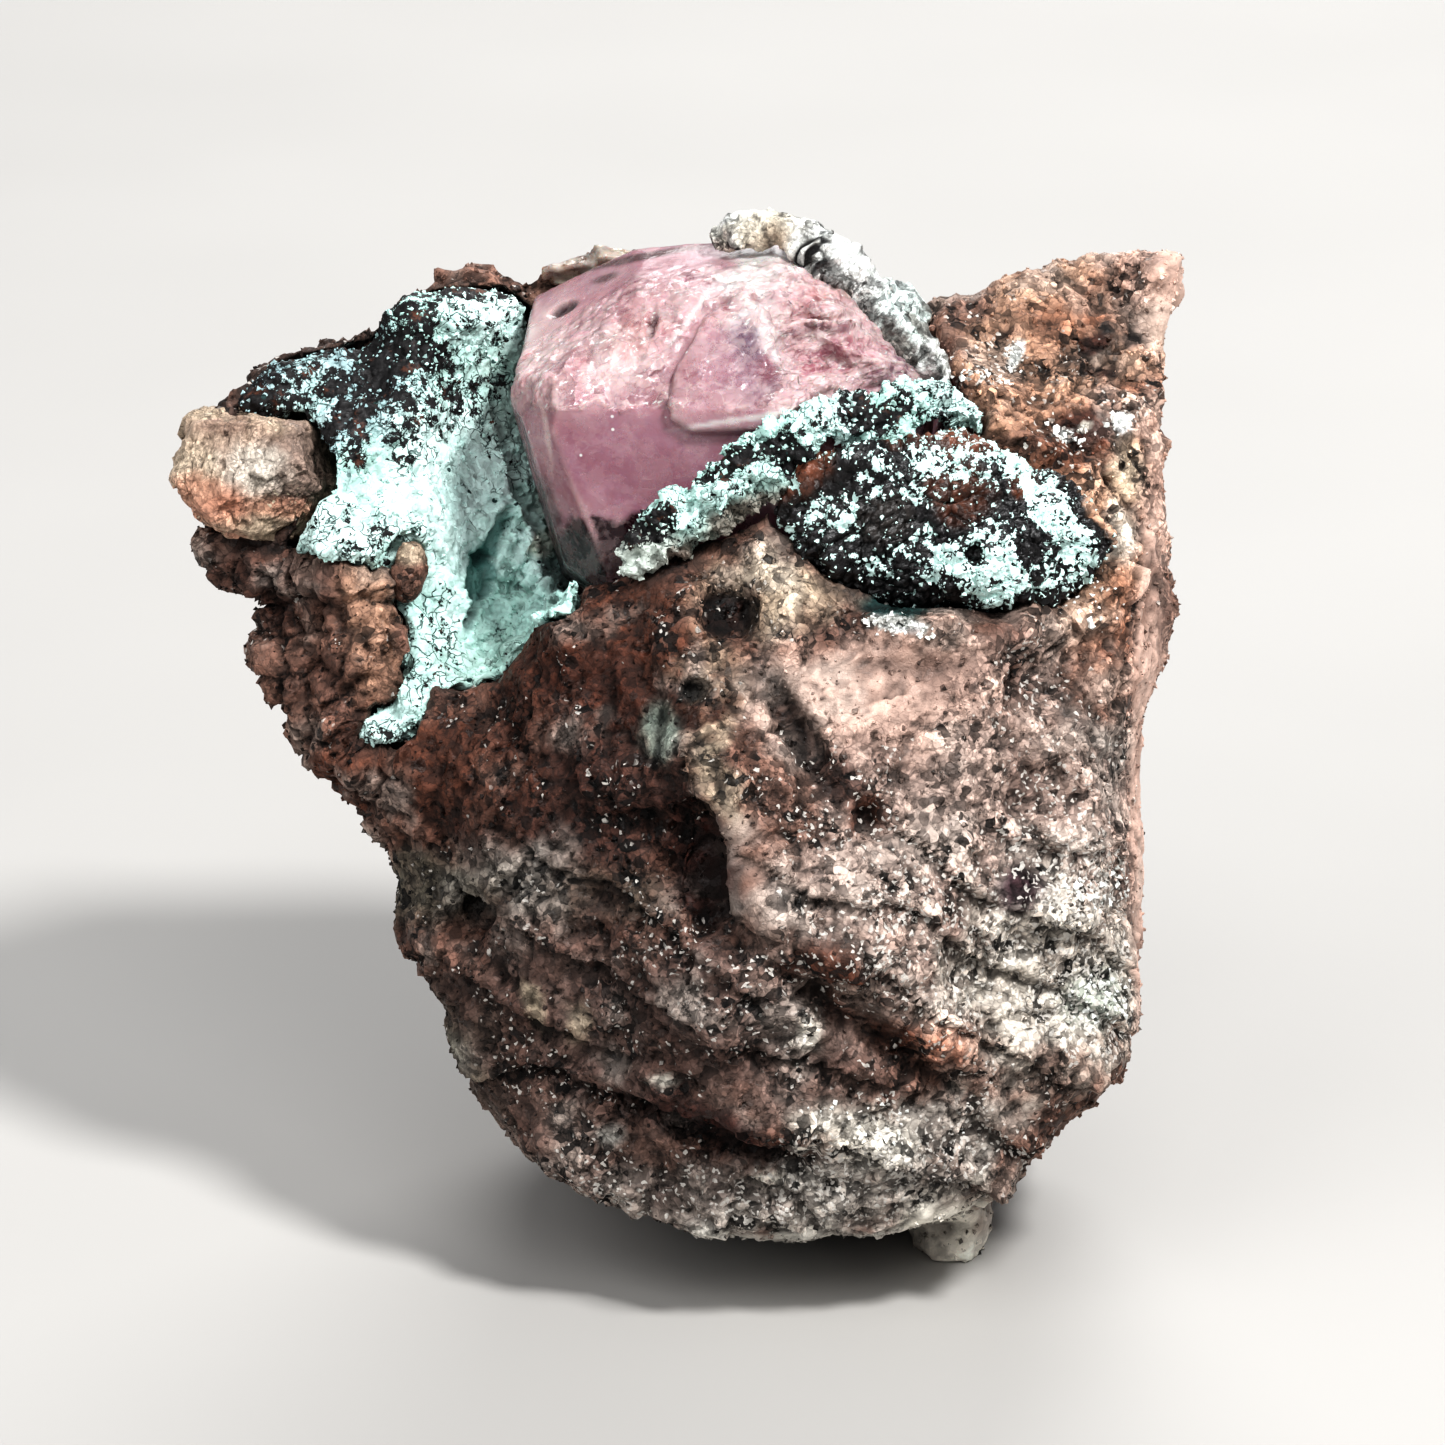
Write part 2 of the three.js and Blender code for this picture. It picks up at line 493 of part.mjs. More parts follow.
// A skin with each vertex moved out along its normal
function grown(geometry, margin) {
  const larger = geometry.clone();
  larger.computeVertexNormals();
  const { position, normal } = larger.attributes;
  const point = new THREE.Vector3();
  const outwards = new THREE.Vector3();
  for (let i = 0; i < position.count; i++) {
    point.fromBufferAttribute(position, i);
    outwards.fromBufferAttribute(normal, i);
    point.addScaledVector(outwards, margin);
    position.setXYZ(i, point.x, point.y, point.z);
  }
  return larger;
}

// Welds a boolean cut's near points, which flattens its slivers, and drops what is then flat
function withoutSlivers(geometry) {
  const welded = mergeVertices(geometry, SLIVER);
  const corners = welded.index.array;
  const kept = new Map();
  for (let t = 0; t < corners.length; t += 3) {
    const triangle = [...corners.slice(t, t + 3)];
    if (new Set(triangle).size < 3) continue;
    while (triangle[0] !== Math.min(...triangle)) triangle.push(triangle.shift());
    const [a, b, c] = triangle;
    if (!kept.delete(`${a},${c},${b}`)) kept.set(`${a},${b},${c}`, triangle);
  }
  welded.setIndex([...kept.values()].flat());
  return welded;
}

// The largest of a solid's separate bodies: loose crumbs are dropped
function largestBody(made) {
  const geometry = geometryOf(solid(withoutSlivers(geometryOf(made))));
  const index = geometry.index.array;
  const places = geometry.attributes.position;
  const parent = Array.from({ length: places.count }, (_, i) => i);
  const root = (i) => {
    while (parent[i] !== i) i = parent[i] = parent[parent[i]];
    return i;
  };
  for (let t = 0; t < index.length; t += 3) {
    parent[root(index[t])] = root(index[t + 1]);
    parent[root(index[t + 1])] = root(index[t + 2]);
  }
  const volumes = new Map();
  const [a, b, c] = [new THREE.Vector3(), new THREE.Vector3(), new THREE.Vector3()];
  for (let t = 0; t < index.length; t += 3) {
    const body = root(index[t]);
    [a, b, c].forEach((corner, n) => corner.fromBufferAttribute(places, index[t + n]));
    volumes.set(body, (volumes.get(body) ?? 0) + a.dot(b.cross(c)) / 6);
  }
  const largest = [...volumes].sort((x, y) => y[1] - x[1])[0][0];
  const kept = [];
  for (let t = 0; t < index.length; t += 3) {
    if (root(index[t]) === largest) kept.push(index[t], index[t + 1], index[t + 2]);
  }
  geometry.setIndex(kept);
  return solid(geometry);
}

// The crystal with its raised plate and its cleavage steps
function crystalSolid(planes) {
  let crystal = solid(planeSolid(planes));
  const plateShape = new THREE.Shape(PLATE_OUTLINE.map(([u, v]) => new THREE.Vector2(u, v)));
  const column = new THREE.ExtrudeGeometry(plateShape, { depth: PLATE_COLUMN.depth, bevelEnabled: false });
  column.translate(0, 0, PLATE_COLUMN.from);
  crystal = crystal.add(solid(planeSolid(planes, PLATE_RISE)).intersect(solid(column)));
  for (const { size, at, round, towards } of STEP_CUTS) {
    const turn = new THREE.Quaternion().setFromUnitVectors(OUTWARDS, facing(round, towards));
    const step = new THREE.BoxGeometry(...size);
    step.applyQuaternion(turn);
    crystal = crystal.subtract(solid(step.translate(...at)));
  }
  return crystal;
}

// The beige fragment, a blunt block with broken corners
function clastSolid(margin = 0) {
  return solid(planeSolid(CLAST_FACES.map((face) => facePlane(...face)), margin));
}

// The brown fragment in the pocket crust
function chipSolid(margin = 0) {
  const geometry = new THREE.IcosahedronGeometry(1, 1);
  geometry.scale(...CHIP.radii.map((radius) => radius + margin));
  geometry.rotateZ(THREE.MathUtils.degToRad(CHIP.turn));
  return solid(geometry.translate(...CHIP.at));
}

// Calcite's rhomb: a box pushed over towards one corner
function rhomb({ size, at, turns }) {
  const geometry = new THREE.BoxGeometry(...size);
  geometry.applyMatrix4(new THREE.Matrix4().makeShear(0, RHOMB_SHEAR, RHOMB_SHEAR, 0, RHOMB_SHEAR, 0));
  geometry.applyQuaternion(new THREE.Quaternion().setFromEuler(new THREE.Euler(...turns)));
  return solid(geometry.translate(...at));
}

// The face-on frame leans back: its v axis rises up the face, and its w axis comes out towards -Y.
const FACE_TO_LEVEL = new THREE.Matrix4().makeRotationX(Math.PI / 2 - LEAN);

// Everything below the flat that the specimen stands on, in the face-on frame
function belowBase() {
  const size = 90;
  const geometry = new THREE.BoxGeometry(size, size, size);
  geometry.translate(0, 0, -size / 2 - BASE_BELOW_CENTRE);
  return solid(geometry.applyMatrix4(FACE_TO_LEVEL.clone().invert()));
}

// The room that a piece takes up with a gap round it
function roomFor(geometry) {
  return [FIT_GAP, FIT_GAP / 3, 0].map((gap) => solid(grown(geometry, gap))).reduce((a, b) => a.add(b));
}

// Every piece with its neighbours cut out of it: each gives way to the pieces listed before it.
function fittedPieces() {
  const planes = CRYSTAL_FACES.map(({ round, towards, through }) => facePlane(round, towards, through));
  const rear = REAR_RHOMBS.map(rhomb).reduce((a, b) => a.add(b));
  const skins = {
    rind: skin((...point) => seam(RIND_LUMPS, ...point), [0, 14, -3], [16, 28, 6], SEAM_CELL),
    crest: skin((...point) => seam(CREST_LUMPS, ...point), [-4, 5, 2], [17, 19, 13], SEAM_CELL),
    mound: skin(oxideMound, [1, 2, -1], [24, 17, 13], MOUND_CELL),
    pocket: skin(pocketCrust, [-26, -5, -12], [-1, 25, 8], POCKET_CELL),
  };
  const forms = {
    crystal: [crystalSolid(planes), solid(planeSolid(planes, FIT_GAP + PLATE_RISE))],
    clast: [clastSolid(), clastSolid(FIT_GAP)],
    chip: [chipSolid(), chipSolid(FIT_GAP)],
    rear: [rear, roomFor(geometryOf(rear))],
  };
  for (const [name, geometry] of Object.entries(skins)) {
    forms[name] = [solid(geometry), roomFor(geometry)];
  }
  const roughRock = solid(skin(hostRock, [-28, -31, -29], [28, 27, 17], ROCK_CELL));
  forms.rock = [roughRock.subtract(belowBase())];

  const fitted = {};
  const rooms = [];
  for (const [name, [form, room]] of Object.entries(forms)) {
    fitted[name] = largestBody(rooms.reduce((left, taken) => left.subtract(taken), form));
    rooms.push(room);
  }
  return fitted;
}

function piece(name, made, color, roughness, clear = {}) {
  const material = new THREE.MeshStandardMaterial({ color, roughness, metalness: 0, ...clear });
  const mesh = new THREE.Mesh(geometryOf(made), material);
  mesh.name = name;
  return mesh;
}

const made = fittedPieces();
const face = new THREE.Group();
face.quaternion.setFromRotationMatrix(FACE_TO_LEVEL);
face.position.set(-STANDING_CENTRE.x, -STANDING_CENTRE.y, BASE_BELOW_CENTRE);
face.add(
  piece("host_rock", made.rock, 0x7a5a4c, 0.9),
  piece("pink_calcite_crystal", made.crystal, 0xd59ab0, 0.25, { transparent: true, opacity: 0.8 }),
  piece("white_calcite_rind", made.rind, 0xd8d3c8, 0.6),
  piece("rear_calcite_crystals", made.rear, 0xc9b6aa, 0.4),
  piece("pocket_crust", made.pocket, 0xa9d6cd, 0.75),
  piece("crest_crust", made.crest, 0xb5ddd6, 0.7),
  piece("oxide_mound", made.mound, 0x2a2624, 0.6),
  piece("pale_clast", made.clast, 0xb09a80, 0.85),
  piece("brown_chip", made.chip, 0x7c5d4c, 0.8),
);
const specimen = new THREE.Group();
specimen.add(face);

export default specimen;
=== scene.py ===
"""Looks of a cobaltoan calcite specimen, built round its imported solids.

A stubby pink calcite crystal sits in a pocket of brown host rock. A mint crust lines the pocket and
edges the crystal, a black oxide mound and a beige fragment stand on the rock, and a white rind and small
rear crystals border the crystal.

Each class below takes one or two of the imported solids, skins them finely, sculpts and paints the skin in
face coordinates, and hands it over as a piece. In face coordinates, in millimetres, u runs right, v runs
up the specimen's face and w comes out of it towards the camera.
"""

from __future__ import annotations

import logging
import math
from dataclasses import dataclass
from enum import Enum
from functools import partial, reduce

import bpy
import numpy as np
from mathutils import Matrix, Vector
from mathutils.kdtree import KDTree


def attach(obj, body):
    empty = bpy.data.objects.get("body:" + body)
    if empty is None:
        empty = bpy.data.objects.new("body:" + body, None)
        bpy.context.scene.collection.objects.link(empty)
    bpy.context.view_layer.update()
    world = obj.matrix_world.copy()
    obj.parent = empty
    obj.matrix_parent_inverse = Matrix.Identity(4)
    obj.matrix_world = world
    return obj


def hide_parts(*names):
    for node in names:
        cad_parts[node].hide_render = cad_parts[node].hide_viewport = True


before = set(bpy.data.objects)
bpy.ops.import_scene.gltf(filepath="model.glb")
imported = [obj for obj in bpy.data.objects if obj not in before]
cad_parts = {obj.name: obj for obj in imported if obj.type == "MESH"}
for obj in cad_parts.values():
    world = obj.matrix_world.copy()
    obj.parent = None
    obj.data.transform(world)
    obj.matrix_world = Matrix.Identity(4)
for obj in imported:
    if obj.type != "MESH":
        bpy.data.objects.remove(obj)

LOG = logging.getLogger("specimen")
Socket = bpy.types.NodeSocket

MM = 0.001
SEED = 20

# The face leans back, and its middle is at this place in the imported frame, in millimetres
LEAN = math.radians(22.0)
FACE_CENTRE = np.array([0.14, -3.65, 26.4])
FACE_AXES = np.array([
    [1.0, 0.0, 0.0],
    [0.0, math.sin(LEAN), math.cos(LEAN)],
    [0.0, -math.cos(LEAN), math.sin(LEAN)],
])

# Large odd numbers that mix a cell's place and a seed into a number without a pattern
PLACE_MIX = (374761393, 668265263, 1440662683)
SEED_MIX = 99338871
LAST_MIX = 1274126177
CHANCES = 0xFFFFFF

# How far noises and packings of different seeds are apart, in their own cells
NOISE_APART = 17.3
PACKING_APART = 5.1

# A loose grain is an uneven octahedron: its corners, its sides, how far and how unevenly the corners
# reach and how far its middle stands off the skin, as shares of its size, and how few grains are large
GRAIN_CORNERS = np.concatenate([np.eye(3), -np.eye(3)])
GRAIN_SIDES = np.array([
    [0, 1, 2], [1, 3, 2], [3, 4, 2], [4, 0, 2], [1, 0, 5], [3, 1, 5], [4, 3, 5], [0, 4, 5],
])
GRAIN_REACH = (0.45, 1.15)
GRAIN_UNEVEN = 0.12
GRAIN_LIFT = 0.05
MOSTLY_SMALL = 2.2

# How far behind a patch's front its paint or relief fades out, in millimetres
FADE = 3.0


def to_world(points: np.ndarray) -> np.ndarray:
    """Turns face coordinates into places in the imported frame.

    Args:
        points: Places in face coordinates, in millimetres, one row each.

    Returns:
        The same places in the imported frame, in metres.
    """
    return (points @ FACE_AXES + FACE_CENTRE) * MM


def to_face(points: np.ndarray) -> np.ndarray:
    """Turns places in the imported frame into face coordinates.

    Args:
        points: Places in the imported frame, in metres, one row each.

    Returns:
        The same places in face coordinates, in millimetres.
    """
    return (points / MM - FACE_CENTRE) @ FACE_AXES.T


def level(share: np.ndarray) -> np.ndarray:
    """Bends a share that goes from 0 to 1 so that it starts and ends level."""
    return share * share * (3.0 - 2.0 * share)


def ease(low: float, high: float, values: np.ndarray) -> np.ndarray:
    """Rises smoothly from 0 at low to 1 at high, or falls where low is the larger."""
    return level(np.clip((values - low) / (high - low), 0.0, 1.0))


def chance(cells: np.ndarray, seed: int) -> np.ndarray:
    """Gives each whole-numbered cell its own number from 0 to 1.

    Args:
        cells: Whole numbers, three to a cell, along the last axis.
        seed: Which set of numbers to give.

    Returns:
        One number for each cell.
    """
    whole = cells.astype(np.int64).astype(np.uint32)
    mixed = sum(whole[..., axis] * np.uint32(factor) for axis, factor in enumerate(PLACE_MIX))
    mixed = mixed + np.uint32((seed * 97 + 13) * SEED_MIX % 2**32)
    mixed = (mixed ^ (mixed >> np.uint32(13))) * np.uint32(LAST_MIX)
    mixed = mixed ^ (mixed >> np.uint32(16))
    return (mixed & np.uint32(CHANCES)).astype(float) / CHANCES


def ripple(points: np.ndarray, size: float, octaves: int = 3, seed: int = 0) -> np.ndarray:
    """Smooth noise with ever finer octaves on it.

    Args:
        points: Where the noise is wanted, in millimetres.
        size: Size of the largest features, in millimetres.
        octaves: How many sizes are added together, each half the one before.
        seed: Which noise to give.

    Returns:
        One value for each point, mostly from -1 to 1.
    """
    total = np.zeros(len(points))
    height = 1.0
    heights = 0.0
    for octave in range(octaves):
        scaled = points * (2.0**octave / size) + NOISE_APART * (seed + octave)
        whole = np.floor(scaled)
        part = level(scaled - whole)
        for corner in np.ndindex(2, 2, 2):
            share = np.prod(np.where(corner, part, 1.0 - part), axis=1)
            total += height * share * (2.0 * chance(whole + corner, seed + octave) - 1.0)
        heights += height
        height *= 0.5
    return 1.5 * total / heights


def crests(points: np.ndarray, size: float, seed: int) -> np.ndarray:
    """Noise with sharp crests: 1 on a crest, falling to about 0 between crests."""
    return 1.0 - np.abs(ripple(points, size, 3, seed)) * 1.6


def warped(points: np.ndarray, size: float, reach: float, seed: int = 0) -> np.ndarray:
    """Shifts points about by smooth noise, so that a pattern read there loses its regular look.

    Args:
        points: Places in face coordinates.
        size: Size of the noise's features, in millimetres.
        reach: How far it shifts a point at most, in millimetres.
        seed: Which noise to use.

    Returns:
        The shifted points.
    """
    return points + reach * np.stack([ripple(points, size, 2, seed + axis) for axis in (1, 2, 3)], axis=1)


@dataclass
class Pebbles:
    """What a packing of rounded cells says at each point.

    Attributes:
        near: Distance to the nearest cell's middle, as a share of the cell size.
        gap: How much further the next cell's middle is.
        pick: The nearest cell's own number, from 0 to 1.
        lean: Height of a flat facet that leans its own way in each cell, as a share of the cell size.
    """

    near: np.ndarray
    gap: np.ndarray
    pick: np.ndarray
    lean: np.ndarray

    @classmethod
    def at(cls, points: np.ndarray, size: float, seed: int = 0) -> Pebbles:
        """Packs cells and reads them at some points.

        Args:
            points: Where to read them, in millimetres.
            size: The cells' size, in millimetres.
            seed: Which packing to give.

        Returns:
            What the packing says at each point.
        """
        scaled = points / size + PACKING_APART * seed
        whole = np.floor(scaled)
        near = np.full(len(points), np.inf)
        second = near.copy()
        pick = np.zeros(len(points))
        lean = np.zeros(len(points))
        for step in np.ndindex(3, 3, 3):
            cell = whole + (np.array(step) - 1.0)
            jitter = np.stack([chance(cell, seed + draw) for draw in (3, 5, 7)], axis=1)
            offset = scaled - (cell + 0.15 + 0.7 * jitter)
            away = np.linalg.norm(offset, axis=1)
            nearer = away < near
            second = np.where(nearer, near, np.minimum(second, away))
            pick = np.where(nearer, chance(cell, seed + 11), pick)
            tilt = np.stack([chance(cell, seed + draw) - 0.5 for draw in (13, 17, 19)], axis=1)
            lean = np.where(nearer, np.einsum("ij,ij->i", offset, tilt), lean)
            near = np.where(nearer, away, near)
        return cls(near, second - near, pick, lean)

    def facets(self) -> np.ndarray:
        """Flat broken facets, each at its own height and lean, mostly from -0.5 to 0.5."""
        return 0.5 * (self.pick - 0.5) + 0.9 * self.lean

    def domes(self) -> np.ndarray:
        """Rounded tops: 1 at the middle of a cell, 0 in the creases between cells."""
        return np.sqrt(np.clip(1.0 - self.near**2, 0.0, 1.0)) * ease(0.0, 0.18, self.gap)


def srgb(red: int, green: int, blue: int) -> tuple[float, float, float]:
    """Turns a colour as a screen shows it, 0 to 255, into the linear one that a shader takes."""
    shares = (value / 255.0 for value in (red, green, blue))
    return tuple(s / 12.92 if s <= 0.04045 else ((s + 0.055) / 1.055) ** 2.4 for s in shares)


class Tint(Enum):
    """Colours of the specimen's minerals, and of the shade and glints painted on them, in plain words."""

    BROWN = srgb(118, 90, 78)
    DARK_BROWN = srgb(66, 42, 35)
    RED_BROWN = srgb(90, 56, 42)
    DEEP_RED = srgb(62, 30, 24)
    RUST = srgb(150, 98, 72)
    ORANGE = srgb(192, 138, 114)
    TAN = srgb(180, 146, 124)
    PINK_BEIGE = srgb(170, 150, 140)
    PALE_PINK = srgb(206, 176, 162)
    BEIGE = srgb(178, 160, 140)
    CREAM = srgb(216, 202, 178)
    GREY_GREEN = srgb(100, 106, 94)
    GREY_BROWN = srgb(116, 100, 93)
    GREY_WHITE = srgb(188, 184, 176)
    SPARKLE = srgb(212, 207, 200)
    CHARCOAL = srgb(44, 40, 38)
    PURPLE_BLACK = srgb(62, 44, 48)
    TEAL_DARK = srgb(34, 62, 60)
    TEAL_SHADE = srgb(96, 146, 140)
    TEAL_GREY = srgb(136, 154, 144)
    MINT_DEEP = srgb(156, 198, 190)
    MINT = srgb(192, 226, 218)
    MINT_PALE = srgb(216, 242, 237)
    MINT_BLUE = srgb(166, 192, 196)
    BLACK = srgb(24, 22, 23)
    WHITE = srgb(238, 240, 236)
    BONE = srgb(222, 216, 204)
    ASH = srgb(112, 106, 99)
    ROSE = srgb(184, 145, 153)
    ROSE_PALE = srgb(201, 165, 169)
    ROSE_WHITE = srgb(229, 206, 204)
    ROSE_STRONG = srgb(192, 132, 143)
    ROSE_DEEP = srgb(150, 92, 104)
    MAUVE = srgb(169, 124, 139)
    MAUVE_DARK = srgb(42, 19, 27)
    MAUVE_GREY = srgb(132, 108, 122)

    @property
    def rgb(self) -> np.ndarray:
        """The colour as an array of three shares."""
        return np.array(self.value)


@dataclass(frozen=True)
class Patch:
    """A soft-edged oval on the face, used to paint a colour or to raise or sink the surface.

    Attributes:
        at: The oval's middle on the face, in millimetres.
        reach: Its two half-lengths, in millimetres.
        tint: The colour that it paints, where it paints one.
        turn: How far its first half-length is turned from level, in degrees.
        amount: How strongly it paints, or how many millimetres it raises the surface.
        soft: How wide its edge is, as a share of its size.
        front: The least w that it reaches, in millimetres, so that the back stays clear of it.
    """

    at: tuple[float, float]
    reach: tuple[float, float]
    tint: Tint | None = None
    turn: float = 0.0
    amount: float = 1.0
    soft: float = 0.45
    front: float = -9.0

    def weight(self, points: np.ndarray, ragged: np.ndarray) -> np.ndarray:
        """How much of the patch each point takes.

        Args:
            points: Places in face coordinates.
            ragged: Noise that breaks up the oval's edge, one value for each point.

        Returns:
            The amount at each point.
        """
        turn = math.radians(self.turn)
        du = points[:, 0] - self.at[0]
        dv = points[:, 1] - self.at[1]
        along = (math.cos(turn) * du + math.sin(turn) * dv) / self.reach[0]
        across = (math.cos(turn) * dv - math.sin(turn) * du) / self.reach[1]
        away = np.hypot(along, across) + ragged
        facing = ease(self.front - FADE, self.front, points[:, 2])
        return self.amount * facing * ease(1.0 + self.soft, 1.0 - self.soft, away)


def painted(points: np.ndarray, base: np.ndarray, patches: tuple[Patch, ...],
            ragged: float = 0.5) -> np.ndarray:
    """Paints patches over a base colour.

    Args:
        points: Places in face coordinates.
        base: One colour for all the points, or one for each.
        patches: What to paint, the last one on top.
        ragged: How broken the patches' edges are.

    Returns:
        One colour for each point.
    """
    colours = np.broadcast_to(base, (len(points), 3)).copy()
    noise = ragged * ripple(points, 1.5, 4, seed=31)
    for patch in patches:
        share = np.clip(patch.weight(points, noise), 0.0, 1.0)[:, None]
        colours += share * (patch.tint.rgb - colours)
    return colours


def raised(points: np.ndarray, patches: tuple[Patch, ...], ragged: float = 0.25) -> np.ndarray:
    """Adds up how far patches raise the surface at each point, in millimetres."""
    noise = ragged * ripple(points, 1.2, 3, seed=37)
    return sum((patch.weight(points, noise) for patch in patches), np.zeros(len(points)))


def linked(name: str, data: bpy.types.ID) -> bpy.types.Object:
    """Makes an object and puts it in the scene.

    Args:
        name: The object's name.
        data: Its mesh, light or camera.

    Returns:
        The object.
    """
    made = bpy.data.objects.new(name, data)
    bpy.context.scene.collection.objects.link(made)
    return made


@dataclass
class Skin:
    """A triangle skin in face coordinates, in millimetres, with a colour at each point.

    Attributes:
        points: The skin's points, one row each.
        triangles: Three point numbers to a triangle.
        colours: The colour at each point, once it is painted.
        mask: The share from -1 to 1 at each point that the finish uses, once it is set.
    """

    points: np.ndarray
    triangles: np.ndarray
    colours: np.ndarray | None = None
    mask: np.ndarray | None = None

    @classmethod
    def of_node(cls, name: str, cell: float) -> Skin:
        """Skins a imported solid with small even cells.

        Args:
            name: The solid's node name.
            cell: The size of a cell, in millimetres.

        Returns:
            The solid's skin, smoothed only as much as the cells do it.
        """
        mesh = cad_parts[name].data.copy()
        mesh.transform(Matrix.Scale(1.0 / MM, 4))
        rough = linked("rough", mesh)
        cells = rough.modifiers.new("cells", "REMESH")
        cells.mode = "VOXEL"
        cells.voxel_size = cell
        points, triangles = cls._evaluated(rough)
        return cls(to_face(points * MM), triangles)

    @staticmethod
    def _evaluated(rough: bpy.types.Object) -> tuple[np.ndarray, np.ndarray]:
        """Reads what an object's modifiers make of it, and removes the object.

        Args:
            rough: The object.

        Returns:
            The points, one row each, and three point numbers to a triangle.
        """
        depsgraph = bpy.context.evaluated_depsgraph_get()
        fine = bpy.data.meshes.new_from_object(rough.evaluated_get(depsgraph))
        fine.calc_loop_triangles()
        points = np.empty(len(fine.vertices) * 3, np.float32)
        fine.vertices.foreach_get("co", points)
        triangles = np.empty(len(fine.loop_triangles) * 3, np.int32)
        fine.loop_triangles.foreach_get("vertices", triangles)
        mesh = rough.data
        bpy.data.objects.remove(rough)
        bpy.data.meshes.remove(mesh)
        bpy.data.meshes.remove(fine)
        return points.reshape(-1, 3).astype(float), triangles.reshape(-1, 3)

    def thinned(self, most: int) -> Skin:
        """Merges the flattest of the skin's triangles.

        Args:
            most: How many triangles may be left.

        Returns:
            The thinner skin, without paint.
        """
        mesh = bpy.data.meshes.new("rough")
        mesh.from_pydata(self.points, [], self.triangles)
        rough = linked("rough", mesh)
        merge = rough.modifiers.new("merge", "DECIMATE")
        merge.ratio = min(1.0, most / len(self.triangles))
        return Skin(*self._evaluated(rough))

    def edges(self) -> np.ndarray:
        """Each triangle's three sides as pairs of point numbers."""
        return np.concatenate([self.triangles[:, pair] for pair in ([0, 1], [1, 2], [2, 0])])

    def spread(self, values: np.ndarray, rounds: int) -> np.ndarray:
        """Averages values over neighbouring points.

        Args:
            values: One value or one row of values for each point.
            rounds: How often to average.

        Returns:
            The averaged values.
        """
        first, second = self.edges().T
        count = len(self.points)
        near = np.bincount(first, minlength=count) + np.bincount(second, minlength=count)
        columns = values.reshape(count, -1).copy()
        for _ in range(rounds):
            for column in columns.T:
                around = np.bincount(first, column[second], count) + np.bincount(second, column[first], count)
                column[:] = 0.5 * column + 0.5 * around / near
        return columns.reshape(values.shape)

    def relax(self, rounds: int) -> Skin:
        """Smooths the skin, and gives it back."""
        self.points = self.spread(self.points, rounds)
        return self

    def normals(self) -> np.ndarray:
        """Works out where the skin faces.

        Returns:
            The outward direction at each point.
        """
        a, b, c = (self.points[self.triangles[:, corner]] for corner in range(3))
        across = np.cross(b - a, c - a)
        total = np.zeros_like(self.points)
        for corner in range(3):
            for axis in range(3):
                total[:, axis] += np.bincount(self.triangles[:, corner], across[:, axis], len(total))
        return total / np.maximum(np.linalg.norm(total, axis=1, keepdims=True), 1e-12)

    def push(self, heights: np.ndarray) -> Skin:
        """Moves each point out along its normal by a height in millimetres, and gives the skin back."""
        self.points = self.points + self.normals() * heights[:, None]
        return self

    def cut(self, side: np.ndarray, share: float) -> Skin:
        """Flattens the skin on one side.

        Args:
            side: The direction that the flat looks in.
            share: The share of the skin's points that stay as they are.

        Returns:
            The skin.
        """
        side = side / np.linalg.norm(side)
        reach = self.points @ side
        over = np.maximum(reach - np.quantile(reach, share), 0.0)
        self.points = self.points - over[:, None] * side
        return self

    def hollows(self, rounds: int) -> np.ndarray:
        """How deep in a hollow each point is, in millimetres: negative on a bump."""
        smooth = self.spread(self.points, rounds)
        return np.einsum("ij,ij->i", smooth - self.points, self.normals())

    def shade(self, rounds: int, size: float, dark: float, light: float) -> None:
        """Paints shade into the hollows and highlight onto the bumps, as darker and lighter paint.

        Args:
            rounds: How wide the hollows are that count.
            size: The depth of hollow that gets the full shade, in millimetres.
            dark: The share of the paint's brightness that is left in a full hollow.
            light: The share that a full bump gets.
        """
        depth = np.clip(self.hollows(rounds) / size, -1.0, 1.0)
        factor = np.where(depth > 0, 1.0 + depth * (dark - 1.0), 1.0 - depth * (light - 1.0))
        self.colours = self.colours * factor[:, None]

    def tinge(self, share: np.ndarray, tint: Tint) -> None:
        """Moves the paint towards a colour by a share at each point."""
        self.colours = self.colours + share[:, None] * (tint.rgb - self.colours)

    def rim(self, rounds: int) -> np.ndarray:
        """How near each point is to where the skin turns away from the camera, from 0 to 1."""
        turned = ease(0.4, 0.0, self.normals()[:, 2])
        return np.clip(1.6 * self.spread(turned, rounds), 0.0, 1.0)

    def grains(self, count: int, sizes: tuple[float, float], density: np.ndarray, seed: int) -> Skin:
        """Scatters small angular grains over the skin, each partly sunk in it.

        Args:
            count: How many grains.
            sizes: The smallest and the largest grain, in millimetres.
            density: How likely a grain is at each point of the skin, from 0 up.
            seed: Which scatter to give.

        Returns:
            The grains as one skin, each with the colour of what it lies on.
        """
        random = np.random.default_rng(seed)
        corners = self.points[self.triangles]
        across = np.cross(corners[:, 1] - corners[:, 0], corners[:, 2] - corners[:, 0])
        weights = np.clip(density[self.triangles].mean(axis=1), 0.0, None)
        likely = np.cumsum(np.linalg.norm(across, axis=1) * weights)
        chosen = np.searchsorted(likely, random.random(count) * likely[-1])
        chosen = np.minimum(chosen, len(likely) - 1)
        shares = random.dirichlet((1.0, 1.0, 1.0), count)
        middles = np.einsum("ij,ijk->ik", shares, corners[chosen])
        under = self.triangles[chosen, 0]
        size = sizes[0] + (sizes[1] - sizes[0]) * random.random(count) ** MOSTLY_SMALL
        turned, _ = np.linalg.qr(random.normal(size=(count, 3, 3)))
        stretch = random.uniform(*GRAIN_REACH, (count, 6, 1))
        shape = GRAIN_CORNERS * stretch + random.normal(0, GRAIN_UNEVEN, (count, 6, 3))
        placed = np.einsum("nij,nkj->nki", turned, shape) * size[:, None, None]
